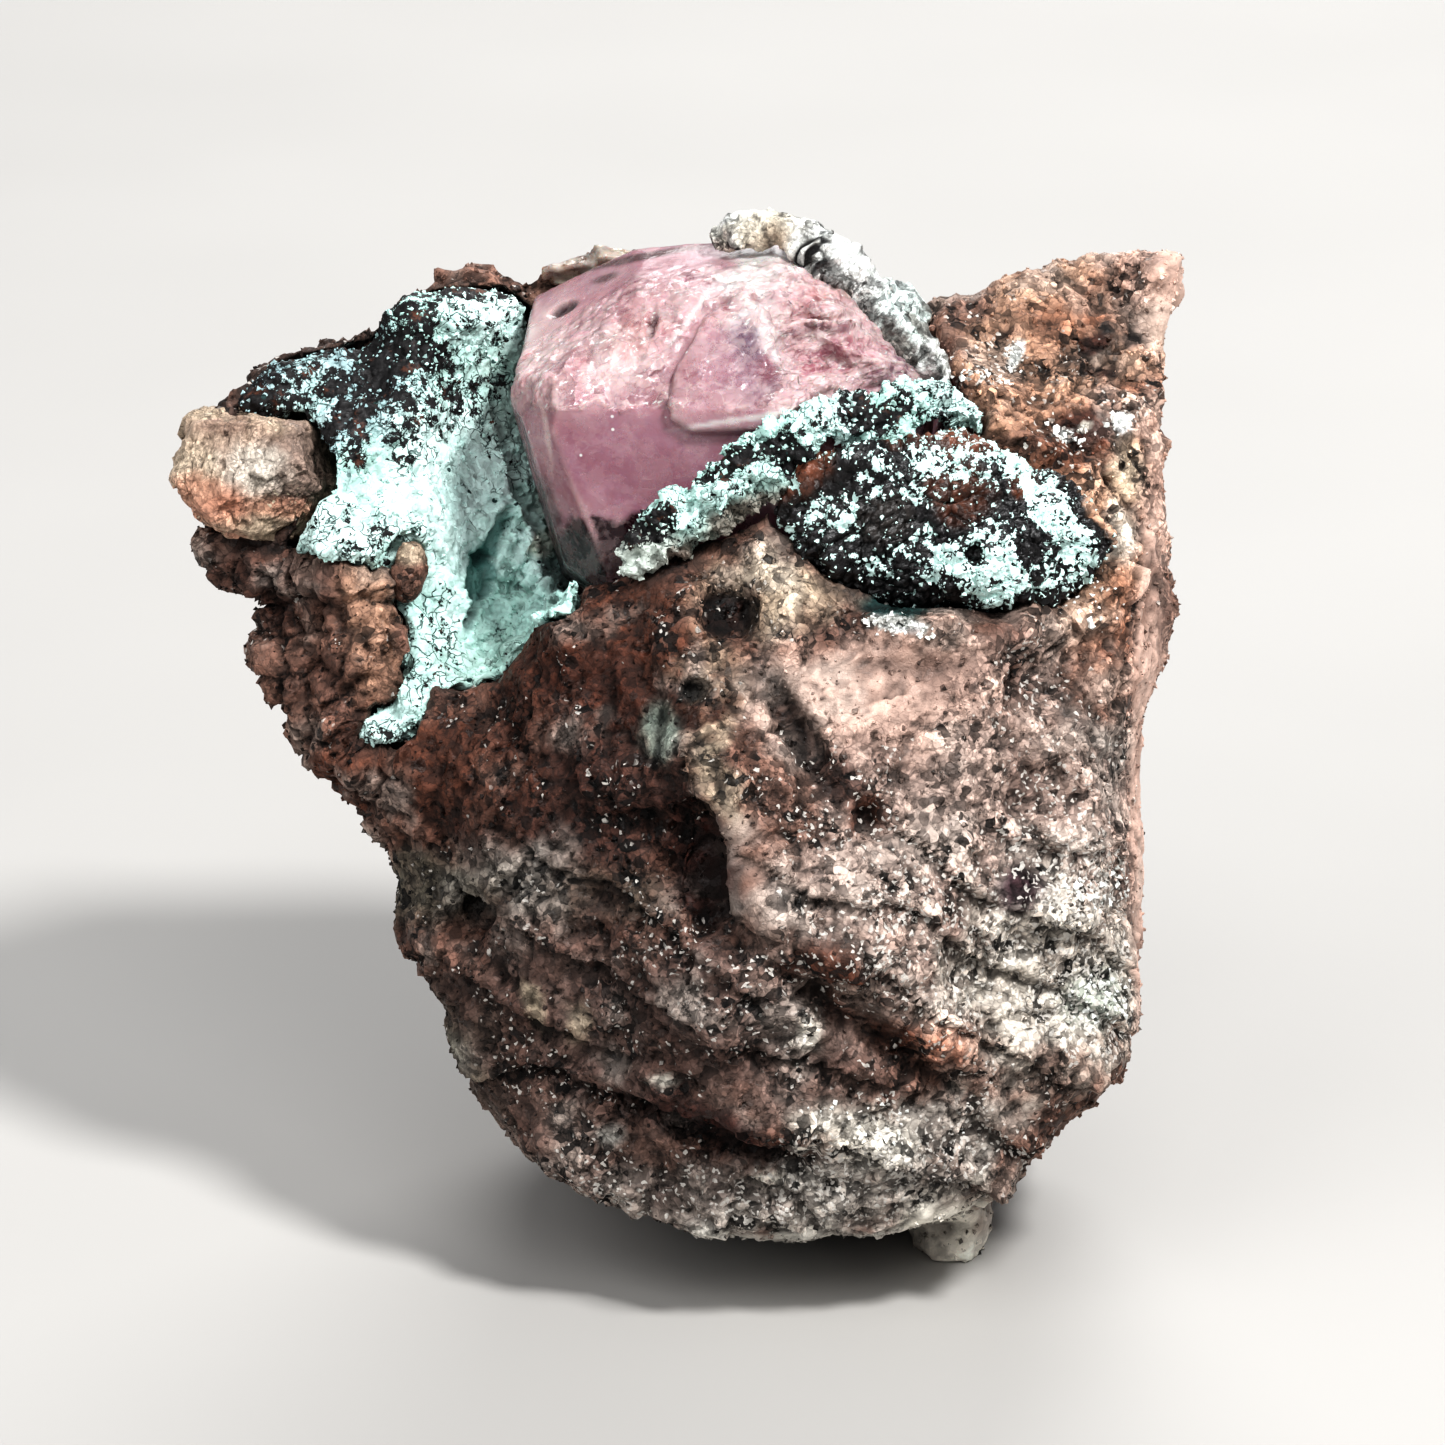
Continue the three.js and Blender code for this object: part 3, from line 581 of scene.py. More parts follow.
        placed += (middles + self.normals()[under] * size[:, None] * GRAIN_LIFT)[:, None, :]
        triangles = (GRAIN_SIDES[None] + 6 * np.arange(count)[:, None, None]).reshape(-1, 3)
        colours = np.repeat(self.colours[under], 6, axis=0)
        return Skin(placed.reshape(-1, 3), triangles, colours)

    def piece(self, name: str, material: bpy.types.Material, slot: str, node: str = "",
              smooth: bool = True) -> None:
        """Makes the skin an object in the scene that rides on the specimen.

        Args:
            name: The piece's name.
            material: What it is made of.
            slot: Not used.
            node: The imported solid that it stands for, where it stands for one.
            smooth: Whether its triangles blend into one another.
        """
        mesh = bpy.data.meshes.new(name)
        places = to_world(self.points)
        places[:, 2] = np.maximum(places[:, 2], 0.0)
        mesh.from_pydata(places, [], self.triangles)
        colours = np.ones((len(places), 4), np.float32)
        colours[:, :3] = np.clip(self.colours, 0.0, 1.0)
        mesh.color_attributes.new("tint", "FLOAT_COLOR", "POINT").data.foreach_set("color", colours.ravel())
        mask = np.zeros(len(places)) if self.mask is None else self.mask
        mesh.attributes.new("mask", "FLOAT", "POINT").data.foreach_set("value", mask.astype(np.float32))
        mesh.polygons.foreach_set("use_smooth", np.full(len(self.triangles), smooth))
        mesh.materials.append(material)
        made = linked(name, mesh)
        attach(made, "root")
        if node:
            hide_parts(node)
        LOG.info("%s: %d triangles", name, len(self.triangles))


class Nearby:
    """Finds how near points are to a set of skins."""

    EVERY = 3

    def __init__(self, skins: list[Skin], flat: bool = False) -> None:
        """Takes every third of the skins' points.

        Args:
            skins: The skins to measure to.
            flat: Whether to measure over the face alone, as if nothing had depth.
        """
        points = np.concatenate([skin.points[::self.EVERY] for skin in skins])
        self.scale = np.array([1.0, 1.0, 0.0 if flat else 1.0])
        self.tree = KDTree(len(points))
        for number, point in enumerate(points * self.scale):
            self.tree.insert(point, number)
        self.tree.balance()

    def distance(self, points: np.ndarray) -> np.ndarray:
        """The distance from each point to the nearest of the skins, in millimetres."""
        return np.array([self.tree.find(point)[2] for point in points * self.scale])


class Graph:
    """Builds a material's nodes with few words."""

    def __init__(self, name: str) -> None:
        """Starts an empty material.

        Args:
            name: The material's name.
        """
        self.material = bpy.data.materials.new(name)
        self.material.use_nodes = True
        self.tree = self.material.node_tree
        self.tree.nodes.clear()

    def add(self, kind: str, options: dict[str, str] | None = None, *values: object,
            **sockets: object) -> bpy.types.Node:
        """Adds a node.

        Args:
            kind: The node's type without its ShaderNode start.
            options: Settings of the node that aren't sockets.
            *values: Values or other nodes' outputs for its first sockets, in order.
            **sockets: More of them, by socket name with _ for a space.

        Returns:
            The node.
        """
        node = self.tree.nodes.new("ShaderNode" + kind)
        for name, value in (options or {}).items():
            setattr(node, name, value)
        for socket, value in zip(node.inputs, values):
            self.join(socket, value)
        for name, value in sockets.items():
            self.join(node.inputs[name.replace("_", " ")], value)
        return node

    def join(self, socket: Socket, value: object) -> None:
        """Links an output to a socket, or sets the socket's own value.

        Args:
            socket: The socket.
            value: The output or the value.
        """
        if isinstance(value, Socket):
            self.tree.links.new(value, socket)
        else:
            socket.default_value = value

    def maths(self, operation: str, *values: object) -> Socket:
        """Works out a number from one to three others."""
        return self.add("Math", {"operation": operation}, *values).outputs[0]

    def times(self, *values: object) -> Socket:
        """Multiplies numbers, from the first to the last."""
        return reduce(partial(self.maths, "MULTIPLY"), values)

    def plus(self, first: object, second: object) -> Socket:
        """Adds two numbers."""
        return self.maths("ADD", first, second)

    def faded(self, factor: object, share: object) -> Socket:
        """Brings a factor back to 1 where a share is 0, and leaves it where the share is 1."""
        return self.maths("MULTIPLY_ADD", self.maths("SUBTRACT", factor, 1.0), share, 1.0)

    def between(self, value: Socket, low: float, high: float, first: float = 0.0,
                last: float = 1.0) -> Socket:
        """Goes smoothly from first to last as a value goes from low to high."""
        options = {"interpolation_type": "SMOOTHSTEP"}
        return self.add("MapRange", options, value, low, high, first, last).outputs[0]

    def vectors(self, operation: str, *values: object) -> bpy.types.NodeOutputs:
        """Works out a place, or a number, from one to three places."""
        return self.add("VectorMath", {"operation": operation}, *values).outputs

    def mixed(self, share: object, first: object, second: object, blend: str = "MIX") -> Socket:
        """Mixes two colours.

        Args:
            share: The second colour's share, from 0 to 1.
            first: The colour that the second one is mixed into.
            second: The colour that is mixed in.
            blend: How it is mixed in.

        Returns:
            The mixed colour.
        """
        node = self.add("Mix", {"data_type": "RGBA", "blend_type": blend}, share)
        colours = [socket for socket in node.inputs if socket.type == "RGBA"]
        for socket, colour in zip(colours, (first, second)):
            self.join(socket, colour if isinstance(colour, Socket) else (*colour, 1.0))
        return node.outputs[2]

    def scaled(self, colour: object, factor: object) -> Socket:
        """Makes a colour brighter or darker."""
        return self.add("VectorMath", {"operation": "SCALE"}, Vector=colour, Scale=factor).outputs[0]

    def paint(self) -> Socket:
        """The colour that the piece's points carry."""
        return self.add("Attribute", {"attribute_name": "tint"}).outputs["Color"]

    def mask(self) -> Socket:
        """The share from -1 to 1 that the piece's points carry for the finish to use."""
        return self.add("Attribute", {"attribute_name": "mask"}).outputs["Fac"]

    def places(self) -> Socket:
        """Where each point of the piece is, in metres."""
        return self.add("TexCoord").outputs["Object"]

    def noise(self, size: float, detail: float, roughness: float, where: Socket | None = None) -> Socket:
        """Cloudy noise with features of a size in millimetres, from 0 to 1."""
        sockets = {"Vector": where or self.places(), "Scale": 1.0 / (size * MM)}
        return self.add("TexNoise", Detail=detail, Roughness=roughness, **sockets).outputs[0]

    def warped(self, size: float, reach: float) -> Socket:
        """Places shifted about by noise of a size and to a reach in millimetres."""
        noise = self.add("TexNoise", Vector=self.places(), Scale=1.0 / (size * MM), Detail=2.0)
        return self.vectors("MULTIPLY_ADD", noise.outputs["Color"], (2.0 * reach * MM,) * 3, self.places())[0]

    def stretched(self, share: float, turn: float) -> Socket:
        """Places drawn out along a line.

        Args:
            share: How much shorter a length along the line counts.
            turn: How far the line is turned from level, in degrees.

        Returns:
            The places.
        """
        options = {"rotation_type": "Y_AXIS"}
        turned = self.add("VectorRotate", options, Vector=self.places(), Angle=math.radians(turn))
        return self.vectors("MULTIPLY", turned.outputs[0], (share, 1.0, 1.0))[0]

    def crystals(self, size: float, feature: str = "F1", where: Socket | None = None) -> bpy.types.Node:
        """A packing of cells of a size in millimetres."""
        places = where or self.places()
        return self.add("TexVoronoi", {"feature": feature}, Vector=places, Scale=1.0 / (size * MM))

    def facets(self, cells: bpy.types.Node, size: float, where: Socket) -> Socket:
        """The height of a flat facet that leans its own way in each cell, as a share of the cell size.

        Args:
            cells: The packing of cells.
            size: The cells' size, in millimetres.
            where: The places that the packing reads.

        Returns:
            The height.
        """
        offset = self.vectors("SUBTRACT", where, cells.outputs["Position"])[0]
        tilt = self.vectors("SUBTRACT", cells.outputs["Color"], (0.5, 0.5, 0.5))[0]
        height = self.vectors("DOT_PRODUCT", offset, tilt)["Value"]
        return self.times(height, 1.0 / (size * MM))

    def pick(self, cells: bpy.types.Node, channel: int = 0) -> Socket:
        """Each cell's own number from 0 to 1, one of three."""
        return self.add("SeparateColor", Color=cells.outputs["Color"]).outputs[channel]

    def varied(self, cells: bpy.types.Node, low: float, high: float, channel: int = 0) -> Socket:
        """Each cell's own number from low to high."""
        return self.between(self.pick(cells, channel), 0.0, 1.0, low, high)

    def borders(self, size: float, where: Socket) -> Socket:
        """The distance to the nearest border between cells, as a share of their size in millimetres."""
        return self.crystals(size, "DISTANCE_TO_EDGE", where).outputs[0]

    def bump(self, height: Socket, depth: float, under: Socket | None = None) -> Socket:
        """Makes a height from 0 to 1 a relief of a depth in millimetres, on top of another relief."""
        sockets = {"Normal": under} if under else {}
        return self.add("Bump", Height=height, Distance=depth * MM, Strength=1.0, **sockets).outputs[0]

    def finish(self, volume: Socket | None = None, **sockets: object) -> bpy.types.Material:
        """Ends the material in one shader.

        Args:
            volume: What fills the piece, where light passes through it.
            **sockets: The shader's values or links, by socket name with _ for a space.

        Returns:
            The material.
        """
        shader = self.add("BsdfPrincipled", **sockets)
        output = self.add("OutputMaterial", Surface=shader.outputs[0])
        if volume:
            self.join(output.inputs["Volume"], volume)
        return self.material


@dataclass(frozen=True)
class StoneFinish:
    """A granular stone of flat broken grains with dark gaps of painted shade.

    It has pale specks where the mask asks for them, and is smooth where the mask is below 0.

    Attributes:
        name: The material's name.
        grain: Size of the main grains, in millimetres.
        dark: Brightness of the darkest grains, as a share of the paint's.
        light: Brightness of the lightest grains.
        gaps: Brightness that is left in the gaps between clumps of grains.
        pepper: Brightness that is left in the scattered dark grains.
        scarce: How scarce pale grains are where the mask asks for none, from about 1.1 up.
        speck: The colour of the specks.
        relief: How steeply the grains lean, from 0 to 1.
    """

    name: str
    grain: float = 0.46
    dark: float = 0.6
    light: float = 1.5
    gaps: float = 0.16
    pepper: float = 0.2
    scarce: float = 1.25
    speck: Tint = Tint.SPARKLE
    relief: float = 0.8

    def material(self) -> bpy.types.Material:
        """Makes the stone.

        Returns:
            Its material.
        """
        graph = Graph(self.name)
        small = 0.45 * self.grain
        mask = graph.mask()
        where = graph.warped(1.1, 0.35)
        grains = graph.crystals(self.grain, where=where)
        fine = graph.crystals(small, where=where)
        clouds = graph.noise(1.3, 6.0, 0.75)
        wide = graph.noise(3.0, 3.0, 0.6)
        often = graph.times(wide, 0.5)
        rough = graph.between(mask, -0.9, 0.0, 0.2, 1.0)
        rough = graph.times(rough, graph.between(wide, 0.4, 0.6, 0.6, 1.05))

        # Light and dark grains, scattered black ones, and dark gaps painted as shade where the relief is low
        tone = graph.times(
            graph.varied(grains, self.dark, self.light),
            graph.varied(fine, 0.62, 1.38),
            graph.between(graph.plus(graph.pick(grains, 1), often), 1.08, 1.12, 1.0, self.pepper),
            graph.between(clouds, 0.36, 0.45, self.gaps, 1.0),
            graph.between(graph.borders(self.grain, where), 0.0, 0.1, 0.6, 1.0),
        )
        colour = graph.scaled(graph.paint(), graph.faded(tone, rough))

        # Pale specks, partly pale grains and partly painted glints
        tiny = graph.crystals(0.36 * self.grain, where=where)
        asked = graph.plus(often, graph.times(mask, 0.3))
        pale = graph.between(graph.plus(graph.pick(tiny, 1), asked), self.scarce, self.scarce + 0.04)
        colour = graph.mixed(graph.times(pale, 0.85), colour, self.speck.value)

        # Relief of the gaps and the leaning grains
        relief = graph.bump(clouds, 0.3)
        for cells, size in ((grains, self.grain), (fine, small)):
            height = graph.times(graph.facets(cells, size, where), rough)
            relief = graph.bump(height, self.relief * size, relief)
        dull = graph.between(graph.pick(grains, 2), 0.6, 1.0, 0.85, 0.35)
        return graph.finish(Base_Color=colour, Roughness=dull, Normal=relief)


@dataclass(frozen=True)
class CrustFinish:
    """A chalky crust of thin flakes with fine cracks, and black specks where the mask asks for them.

    Attributes:
        name: The material's name.
        flake: Size of the flakes, in millimetres.
        few: How rare black specks are where the mask asks for none, from 0 up.
        relief: Depth of the flakes, in millimetres.
    """

    name: str
    flake: float = 0.75
    few: float = 0.67
    relief: float = 0.16

    def material(self) -> bpy.types.Material:
        """Makes the crust.

        Returns:
            Its material.
        """
        graph = Graph(self.name)
        crumb = 0.4 * self.flake
        mask = graph.mask()
        where = graph.warped(0.9, 0.5)
        flakes = graph.crystals(self.flake, where=where)
        crumbs = graph.crystals(crumb, where=where)

        # Flakes with fine dark cracks where the crust is loose
        edge = graph.between(graph.borders(self.flake, where), 0.0, 0.05, 0.85, 0.0)
        loose = graph.plus(graph.noise(1.4, 3.0, 0.6), graph.times(mask, 0.4))
        crack = graph.times(edge, graph.between(loose, 0.56, 0.72))
        tone = graph.times(graph.varied(flakes, 0.9, 1.06), graph.varied(crumbs, 0.9, 1.08))
        colour = graph.mixed(crack, graph.scaled(graph.paint(), tone), Tint.TEAL_DARK.value)

        # Black and brown specks, and dark spots of painted shade where small holes would be
        specks = graph.noise(0.5, 5.0, 0.72)
        speck = graph.between(graph.plus(specks, graph.times(mask, 0.2)), self.few, self.few + 0.035)
        brown = graph.between(graph.noise(1.2, 4.0, 0.7), 0.57, 0.68)
        colour = graph.mixed(speck, colour, graph.mixed(brown, Tint.BLACK.value, Tint.RED_BROWN.value))
        holes = graph.crystals(1.1)
        hole_shade = graph.between(holes.outputs["Distance"], 0.1, 0.14, 1.0, 0.0)
        hole_shade = graph.times(hole_shade, graph.between(graph.pick(holes), 0.7, 0.72))
        colour = graph.mixed(hole_shade, colour, Tint.TEAL_DARK.value)

        # Relief of the cracks, the flakes and the leaning crumbs
        whole = graph.maths("SUBTRACT", 1.0, graph.maths("MAXIMUM", crack, speck))
        relief = graph.bump(whole, 0.6 * self.relief)
        relief = graph.bump(graph.pick(flakes), 0.35 * self.relief, relief)
        relief = graph.bump(graph.facets(crumbs, crumb, where), self.relief, relief)
        dull = graph.between(specks, 0.3, 0.7, 0.5, 0.8)
        return graph.finish(Base_Color=colour, Roughness=dull, Normal=relief)


@dataclass(frozen=True)
class OxideFinish:
    """A lumpy black oxide with crisp mint specks where the mask asks for them.

    Attributes:
        name: The material's name.
        speck: Size of the mint specks, in millimetres.
    """

    name: str
    speck: float = 0.36

    def material(self) -> bpy.types.Material:
        """Makes the oxide.

        Returns:
            Its material.
        """
        graph = Graph(self.name)
        where = graph.warped(0.6, 0.25)
        cells = graph.crystals(self.speck, where=where)

        # A cell is a mint speck where its own number, clumps of noise and the mask make enough together
        own = graph.times(graph.pick(cells), 0.24)
        clumps = graph.plus(graph.noise(1.0, 4.0, 0.68), graph.times(graph.mask(), 0.27))
        rounded = graph.times(cells.outputs["Distance"], 0.14)
        mint = graph.between(graph.maths("SUBTRACT", graph.plus(own, clumps), rounded), 0.72, 0.745)
        chalk = graph.scaled(Tint.MINT_PALE.value, graph.varied(cells, 0.84, 1.05, 1))
        black = graph.scaled(graph.paint(), graph.varied(cells, 0.5, 1.6, 2))
        colour = graph.mixed(mint, black, chalk)

        relief = graph.bump(graph.noise(0.6, 4.0, 0.7), 0.14)
        relief = graph.bump(graph.facets(cells, self.speck, where), 0.18, relief)
        relief = graph.bump(mint, 0.07, relief)
        dull = graph.between(mint, 0.0, 1.0, 0.36, 0.72)
        return graph.finish(Base_Color=colour, Roughness=dull, Normal=relief)


@dataclass(frozen=True)
class CalciteFinish:
    """Calcite that lets light through, with white crackle where the mask calls it rough.

    Attributes:
        name: The material's name.
        clear: How much light passes straight through, from 0 to 1.
        milky: How much light spreads inside it, from 0 to 1.
        absorbs: The colour that its inside lets through.
        density: How strongly the inside colours light, for each metre.
        veil: The colour of its crackle.
        flake: Size of the crackle's flakes, in millimetres.
    """

    name: str
    clear: float = 0.3
    milky: float = 0.15
    absorbs: Tint = Tint.ROSE_PALE
    density: float = 30.0
    veil: Tint = Tint.ROSE_WHITE
    flake: float = 1.0

    def material(self) -> bpy.types.Material:
        """Makes the calcite.

        Returns:
            Its material.
        """
        graph = Graph(self.name)
        chip = 0.42 * self.flake
        rough = graph.mask()
        where = graph.warped(1.4, 0.8)
        drawn = graph.stretched(0.3, 38.0)
        flakes = graph.crystals(self.flake, where=where)
        chips = graph.crystals(chip, where=where)
        clouds = graph.noise(1.5, 6.0, 0.72)

        # Pink streaks, and lighter and darker flakes where it is rough
        streak = graph.between(graph.noise(0.9, 5.0, 0.7, drawn), 0.5, 0.62)
        streak = graph.times(streak, graph.between(rough, 0.1, 0.5, 0.1, 0.5))
        colour = graph.mixed(streak, graph.paint(), Tint.ROSE_STRONG.value, "MULTIPLY")
        colour = graph.scaled(colour, graph.faded(graph.varied(flakes, 0.6, 1.2, 1), rough))

        # A veil of crackle, and deeper pink clouds
        tone = graph.plus(graph.times(graph.pick(flakes), 0.16), graph.times(graph.pick(chips), 0.14))
        veil = graph.between(graph.plus(tone, clouds), 0.56, 0.72)
        veil = graph.times(veil, graph.between(rough, 0.0, 1.0, 0.14, 0.65))
        colour = graph.mixed(veil, colour, self.veil.value)
        deep = graph.between(graph.noise(2.6, 4.0, 0.6), 0.46, 0.62, 0.0, 0.25)
        colour = graph.mixed(deep, colour, Tint.ROSE_STRONG.value, "MULTIPLY")

        # Pale cracks and grey seams
        crack = graph.between(graph.borders(self.flake, where), 0.0, 0.05, 0.8, 0.0)
        crack = graph.times(crack, graph.between(graph.noise(1.0, 3.0, 0.6), 0.48, 0.6))
        crack = graph.times(crack, graph.between(rough, 0.0, 0.7, 0.15, 1.0))
        colour = graph.mixed(crack, colour, self.veil.value)
        seam = graph.between(graph.borders(1.7, where), 0.0, 0.03, 0.6, 0.0)
        seam = graph.times(seam, graph.between(graph.noise(1.6, 2.0, 0.5), 0.5, 0.58), rough)
        colour = graph.mixed(seam, colour, Tint.MAUVE_GREY.value)

        # Fibres where it is roughest, with painted glints between them, and small white spots of painted
        # sparkle
        fibres = graph.between(graph.noise(0.55, 4.0, 0.65, graph.stretched(0.22, 20.0)), 0.47, 0.6)
        fibrous = graph.between(rough, 0.7, 1.0)
        beside = graph.times(graph.maths("SUBTRACT", 1.0, fibres), fibrous, 0.25)
        colour = graph.mixed(beside, colour, Tint.ROSE_STRONG.value)
        glint = graph.between(graph.noise(0.3, 3.0, 0.6, drawn), 0.62, 0.68)
        glint = graph.times(glint, graph.between(rough, 0.3, 0.6, 0.0, 0.8))
        colour = graph.mixed(glint, colour, Tint.WHITE.value)
        fibre = graph.times(fibres, fibrous, 0.5)
        colour = graph.mixed(fibre, colour, self.veil.value)
        sparkles = graph.crystals(0.5)
        sparkle = graph.between(sparkles.outputs["Distance"], 0.1, 0.2, 1.0, 0.0)
        sparkle = graph.times(sparkle, graph.between(graph.pick(sparkles), 0.94, 0.95))
        colour = graph.mixed(sparkle, colour, Tint.WHITE.value)

        # Relief of the leaning flakes, the chips and the fibres
        relief = graph.bump(graph.noise(1.2, 5.0, 0.6), 0.05)
        stepped = graph.between(rough, 0.0, 1.0, 0.08, 1.0)
        shelves = graph.times(graph.facets(flakes, self.flake, where), stepped)
        relief = graph.bump(shelves, 0.4 * self.flake, relief)
        relief = graph.bump(graph.times(graph.facets(chips, chip, where), rough), 0.22 * self.flake, relief)
        relief = graph.bump(fibre, 0.08, relief)
        dull = graph.between(graph.plus(clouds, graph.times(rough, 0.2)), 0.35, 0.8, 0.14, 0.5)
        inside = graph.add("VolumeAbsorption", Color=(*self.absorbs.value, 1.0), Density=self.density)
        return graph.finish(
            inside.outputs[0], Base_Color=colour, Roughness=dull, Normal=relief, IOR=1.6,
            Specular_IOR_Level=0.3, Transmission_Weight=self.clear, Subsurface_Weight=self.milky,
            Subsurface_Scale=MM,
        )


@dataclass
class PocketCrust:
    """The flaky mint crust that lines the pocket and runs over the shoulder.

    Attributes:
        cell: Size of the skin's cells, in millimetres.
        flake: Height of its broken flakes, in millimetres.
        thin: How far its rim sinks into the rock, in millimetres.
        crumbs: How many loose crumbs lie on it.
        colours: What is painted on its mint, with painted shade along its groove and by the crystal's foot.
        specked: Where it has black specks, and how many.
        relief: Its cracks and curls.
        kept: Where its rim doesn't sink.
        sunk: Where it goes down behind the crystal's foot.
        calm: Where its flakes are small.
    """

    cell: float = 0.14
    flake: float = 0.42
    thin: float = 0.7
    crumbs: int = 5000
    colours: tuple[Patch, ...] = (
        Patch((-18.4, 16.6), (6.0, 3.4), Tint.MINT_BLUE),
        Patch((-18.0, 16.0), (2.0, 1.4), Tint.MINT_PALE, amount=0.5),
        Patch((-9.4, 20.2), (2.6, 1.6), Tint.MINT_PALE),
        Patch((-10.6, 12.2), (3.2, 5.0), Tint.MINT_PALE),
        Patch((-8.6, 16.2), (1.1, 2.4), Tint.TEAL_GREY, amount=0.4),
        Patch((-6.5, 13.6), (1.1, 4.4), Tint.MINT_PALE),
        Patch((-12.4, 4.2), (2.4, 4.4), Tint.MINT_PALE, amount=0.4),
        Patch((-9.4, 3.2), (2.2, 1.6), Tint.TEAL_GREY, turn=30, amount=0.4),
        Patch((-14.2, -0.7), (1.8, 1.6), Tint.MINT_PALE),
        Patch((-17.2, 9.4), (3.4, 1.6), Tint.MINT_PALE),
        Patch((-6.7, 8.6), (1.6, 2.4), Tint.MINT_PALE, turn=-15, soft=0.25),
        Patch((-6.9, 9.0), (0.5, 0.6), Tint.CREAM, amount=0.5),
        # The teal patches along the groove and by the crystal's foot are painted shade.
        Patch((-8.9, 9.2), (1.5, 0.42), Tint.TEAL_SHADE, turn=62, soft=0.2, amount=0.8),
        Patch((-9.6, 7.4), (1.5, 0.6), Tint.TEAL_SHADE, turn=86, soft=0.2, amount=0.8),
        Patch((-9.9, 5.6), (0.9, 0.4), Tint.TEAL_DARK, turn=70, soft=0.2, amount=0.7),
        Patch((-6.1, 10.6), (0.8, 1.2), Tint.TEAL_GREY, turn=25, amount=0.8),
        Patch((-5.0, 8.0), (0.9, 0.9), Tint.TEAL_SHADE, turn=25, amount=0.5),
    )
    specked: tuple[Patch, ...] = (
        Patch((-13.8, 19.4), (2.0, 1.8), amount=1.1),
        Patch((-15.0, 17.6), (0.9, 1.6), amount=0.6),
        Patch((-10.8, 21.9), (4.8, 0.9), amount=1.2, front=-20),
        Patch((-21.0, 18.2), (4.4, 0.8), turn=38, amount=1.1, front=-20),
        Patch((-22.4, 15.0), (1.0, 0.8), amount=0.8),
        Patch((-19.6, 17.2), (4.8, 3.0), amount=1.05, soft=0.5),
        Patch((-21.8, 16.4), (2.4, 1.4), amount=0.4, soft=0.5),
        Patch((-13.8, 16.2), (2.8, 2.6), amount=0.75, soft=0.5),
        Patch((-16.2, 13.8), (1.5, 1.6), amount=0.7, soft=0.5),
        Patch((-10.2, 17.2), (1.6, 2.4), amount=0.48, soft=0.5),
        Patch((-11.4, 20.6), (3.6, 1.6), amount=0.45, soft=0.5),
        Patch((-16.8, 9.6), (3.6, 1.5), amount=0.45, soft=0.5),
        Patch((-12.4, 13.2), (1.2, 1.0), amount=0.25, soft=0.5),
        Patch((-14.8, 8.4), (1.2, 1.2), amount=0.4, soft=0.5),
        Patch((-13.8, -0.9), (2.0, 1.6), amount=0.8, soft=0.5),
        Patch((-12.6, 14.8), (1.6, 1.6), amount=0.2, soft=0.5),
        Patch((-12.4, 4.0), (1.6, 4.0), amount=0.5, soft=0.5),
        Patch((-9.4, 2.6), (2.4, 1.4), turn=30, amount=0.25, soft=0.5),
        Patch((-8.0, 15.0), (1.6, 3.0), amount=0.35, soft=0.5),
    )
    relief: tuple[Patch, ...] = (
        Patch((-8.9, 9.2), (1.5, 0.4), turn=62, amount=-0.5, soft=0.15),
        Patch((-9.6, 7.4), (1.5, 0.6), turn=86, amount=-0.6, soft=0.15),
        Patch((-9.9, 5.6), (0.9, 0.4), turn=70, amount=-0.5, soft=0.15),
        Patch((-6.7, 8.8), (1.5, 2.4), turn=-15, amount=0.5, soft=0.15),
        Patch((-14.9, 18.0), (1.1, 1.5), amount=-0.4),
        Patch((-13.0, 19.9), (1.4, 1.0), amount=0.4),
    )
    kept: tuple[Patch, ...] = (
        Patch((-18.8, 18.0), (7.0, 2.4), turn=30, front=-20),
        Patch((-10.2, 21.6), (5.0, 1.8), front=-20),
        Patch((-4.5, 6.2), (2.2, 2.4)),
        Patch((-13.8, -0.6), (2.4, 2.0), amount=0.8),
    )
    sunk: Patch = Patch((-4.5, 6.2), (2.2, 2.4))
    calm: tuple[Patch, ...] = (
        Patch((-10.8, 10.4), (1.8, 2.8), amount=0.6, soft=0.5),
        Patch((-9.4, 7.8), (2.8, 0.7), turn=76, amount=0.6, soft=0.3),
        Patch((-11.8, 5.0), (1.4, 2.6), amount=0.6, soft=0.6),
    )

    def build(self) -> Skin:
        """Sculpts, paints and places the crust.

        Returns:
            Its skin.
        """
        skin = Skin.of_node("pocket_crust", self.cell).relax(6)
        points = skin.points
        lumpy = 1.0 - np.clip(raised(points, self.calm), 0.0, 1.0)
        flakes = Pebbles.at(warped(points, 1.2, 0.5, seed=2), 0.95, seed=3).facets()
        crumbs = Pebbles.at(warped(points, 0.6, 0.2, seed=4), 0.42, seed=5).facets()
        folds = 0.3 * (crests(points, 3.0, seed=6) - 0.5)
        heights = folds * (0.4 + 0.6 * lumpy) + lumpy * self.flake * (flakes + 0.45 * crumbs)
        uneven = 0.25 * ripple(points, 1.2, 3, seed=7)
        rim = (self.thin + uneven) * skin.rim(36) * (1.0 - np.clip(raised(points, self.kept), 0.0, 1.0))
        skin.push(heights + raised(points, self.relief, 0.6) - rim - 0.05)
        skin.points[:, 2] -= 1.5 * raised(points, (self.sunk,))
        skin.colours = painted(points, Tint.MINT.rgb, self.colours)
        skin.tinge(0.3 * ease(0.0, 0.6, ripple(points, 1.7, 4, seed=8)), Tint.MINT_DEEP)
        skin.tinge(0.2 * ease(0.1, 0.7, ripple(points, 1.1, 4, seed=9)), Tint.TEAL_GREY)
        skin.mask = raised(points, self.specked, 0.5)
        skin.shade(rounds=10, size=0.12, dark=0.6, light=1.12)
        skin.piece("pocket_crust_skin", CrustFinish("pocket_crust").material(), "mint_crust", "pocket_crust")
        loose = skin.grains(self.crumbs, (0.06, 0.2), 0.15 + lumpy, SEED + 1)
        finish = CrustFinish("crust_crumbs")
        loose.piece("pocket_crust_crumbs", finish.material(), "mint_crust", smooth=False)
        return skin


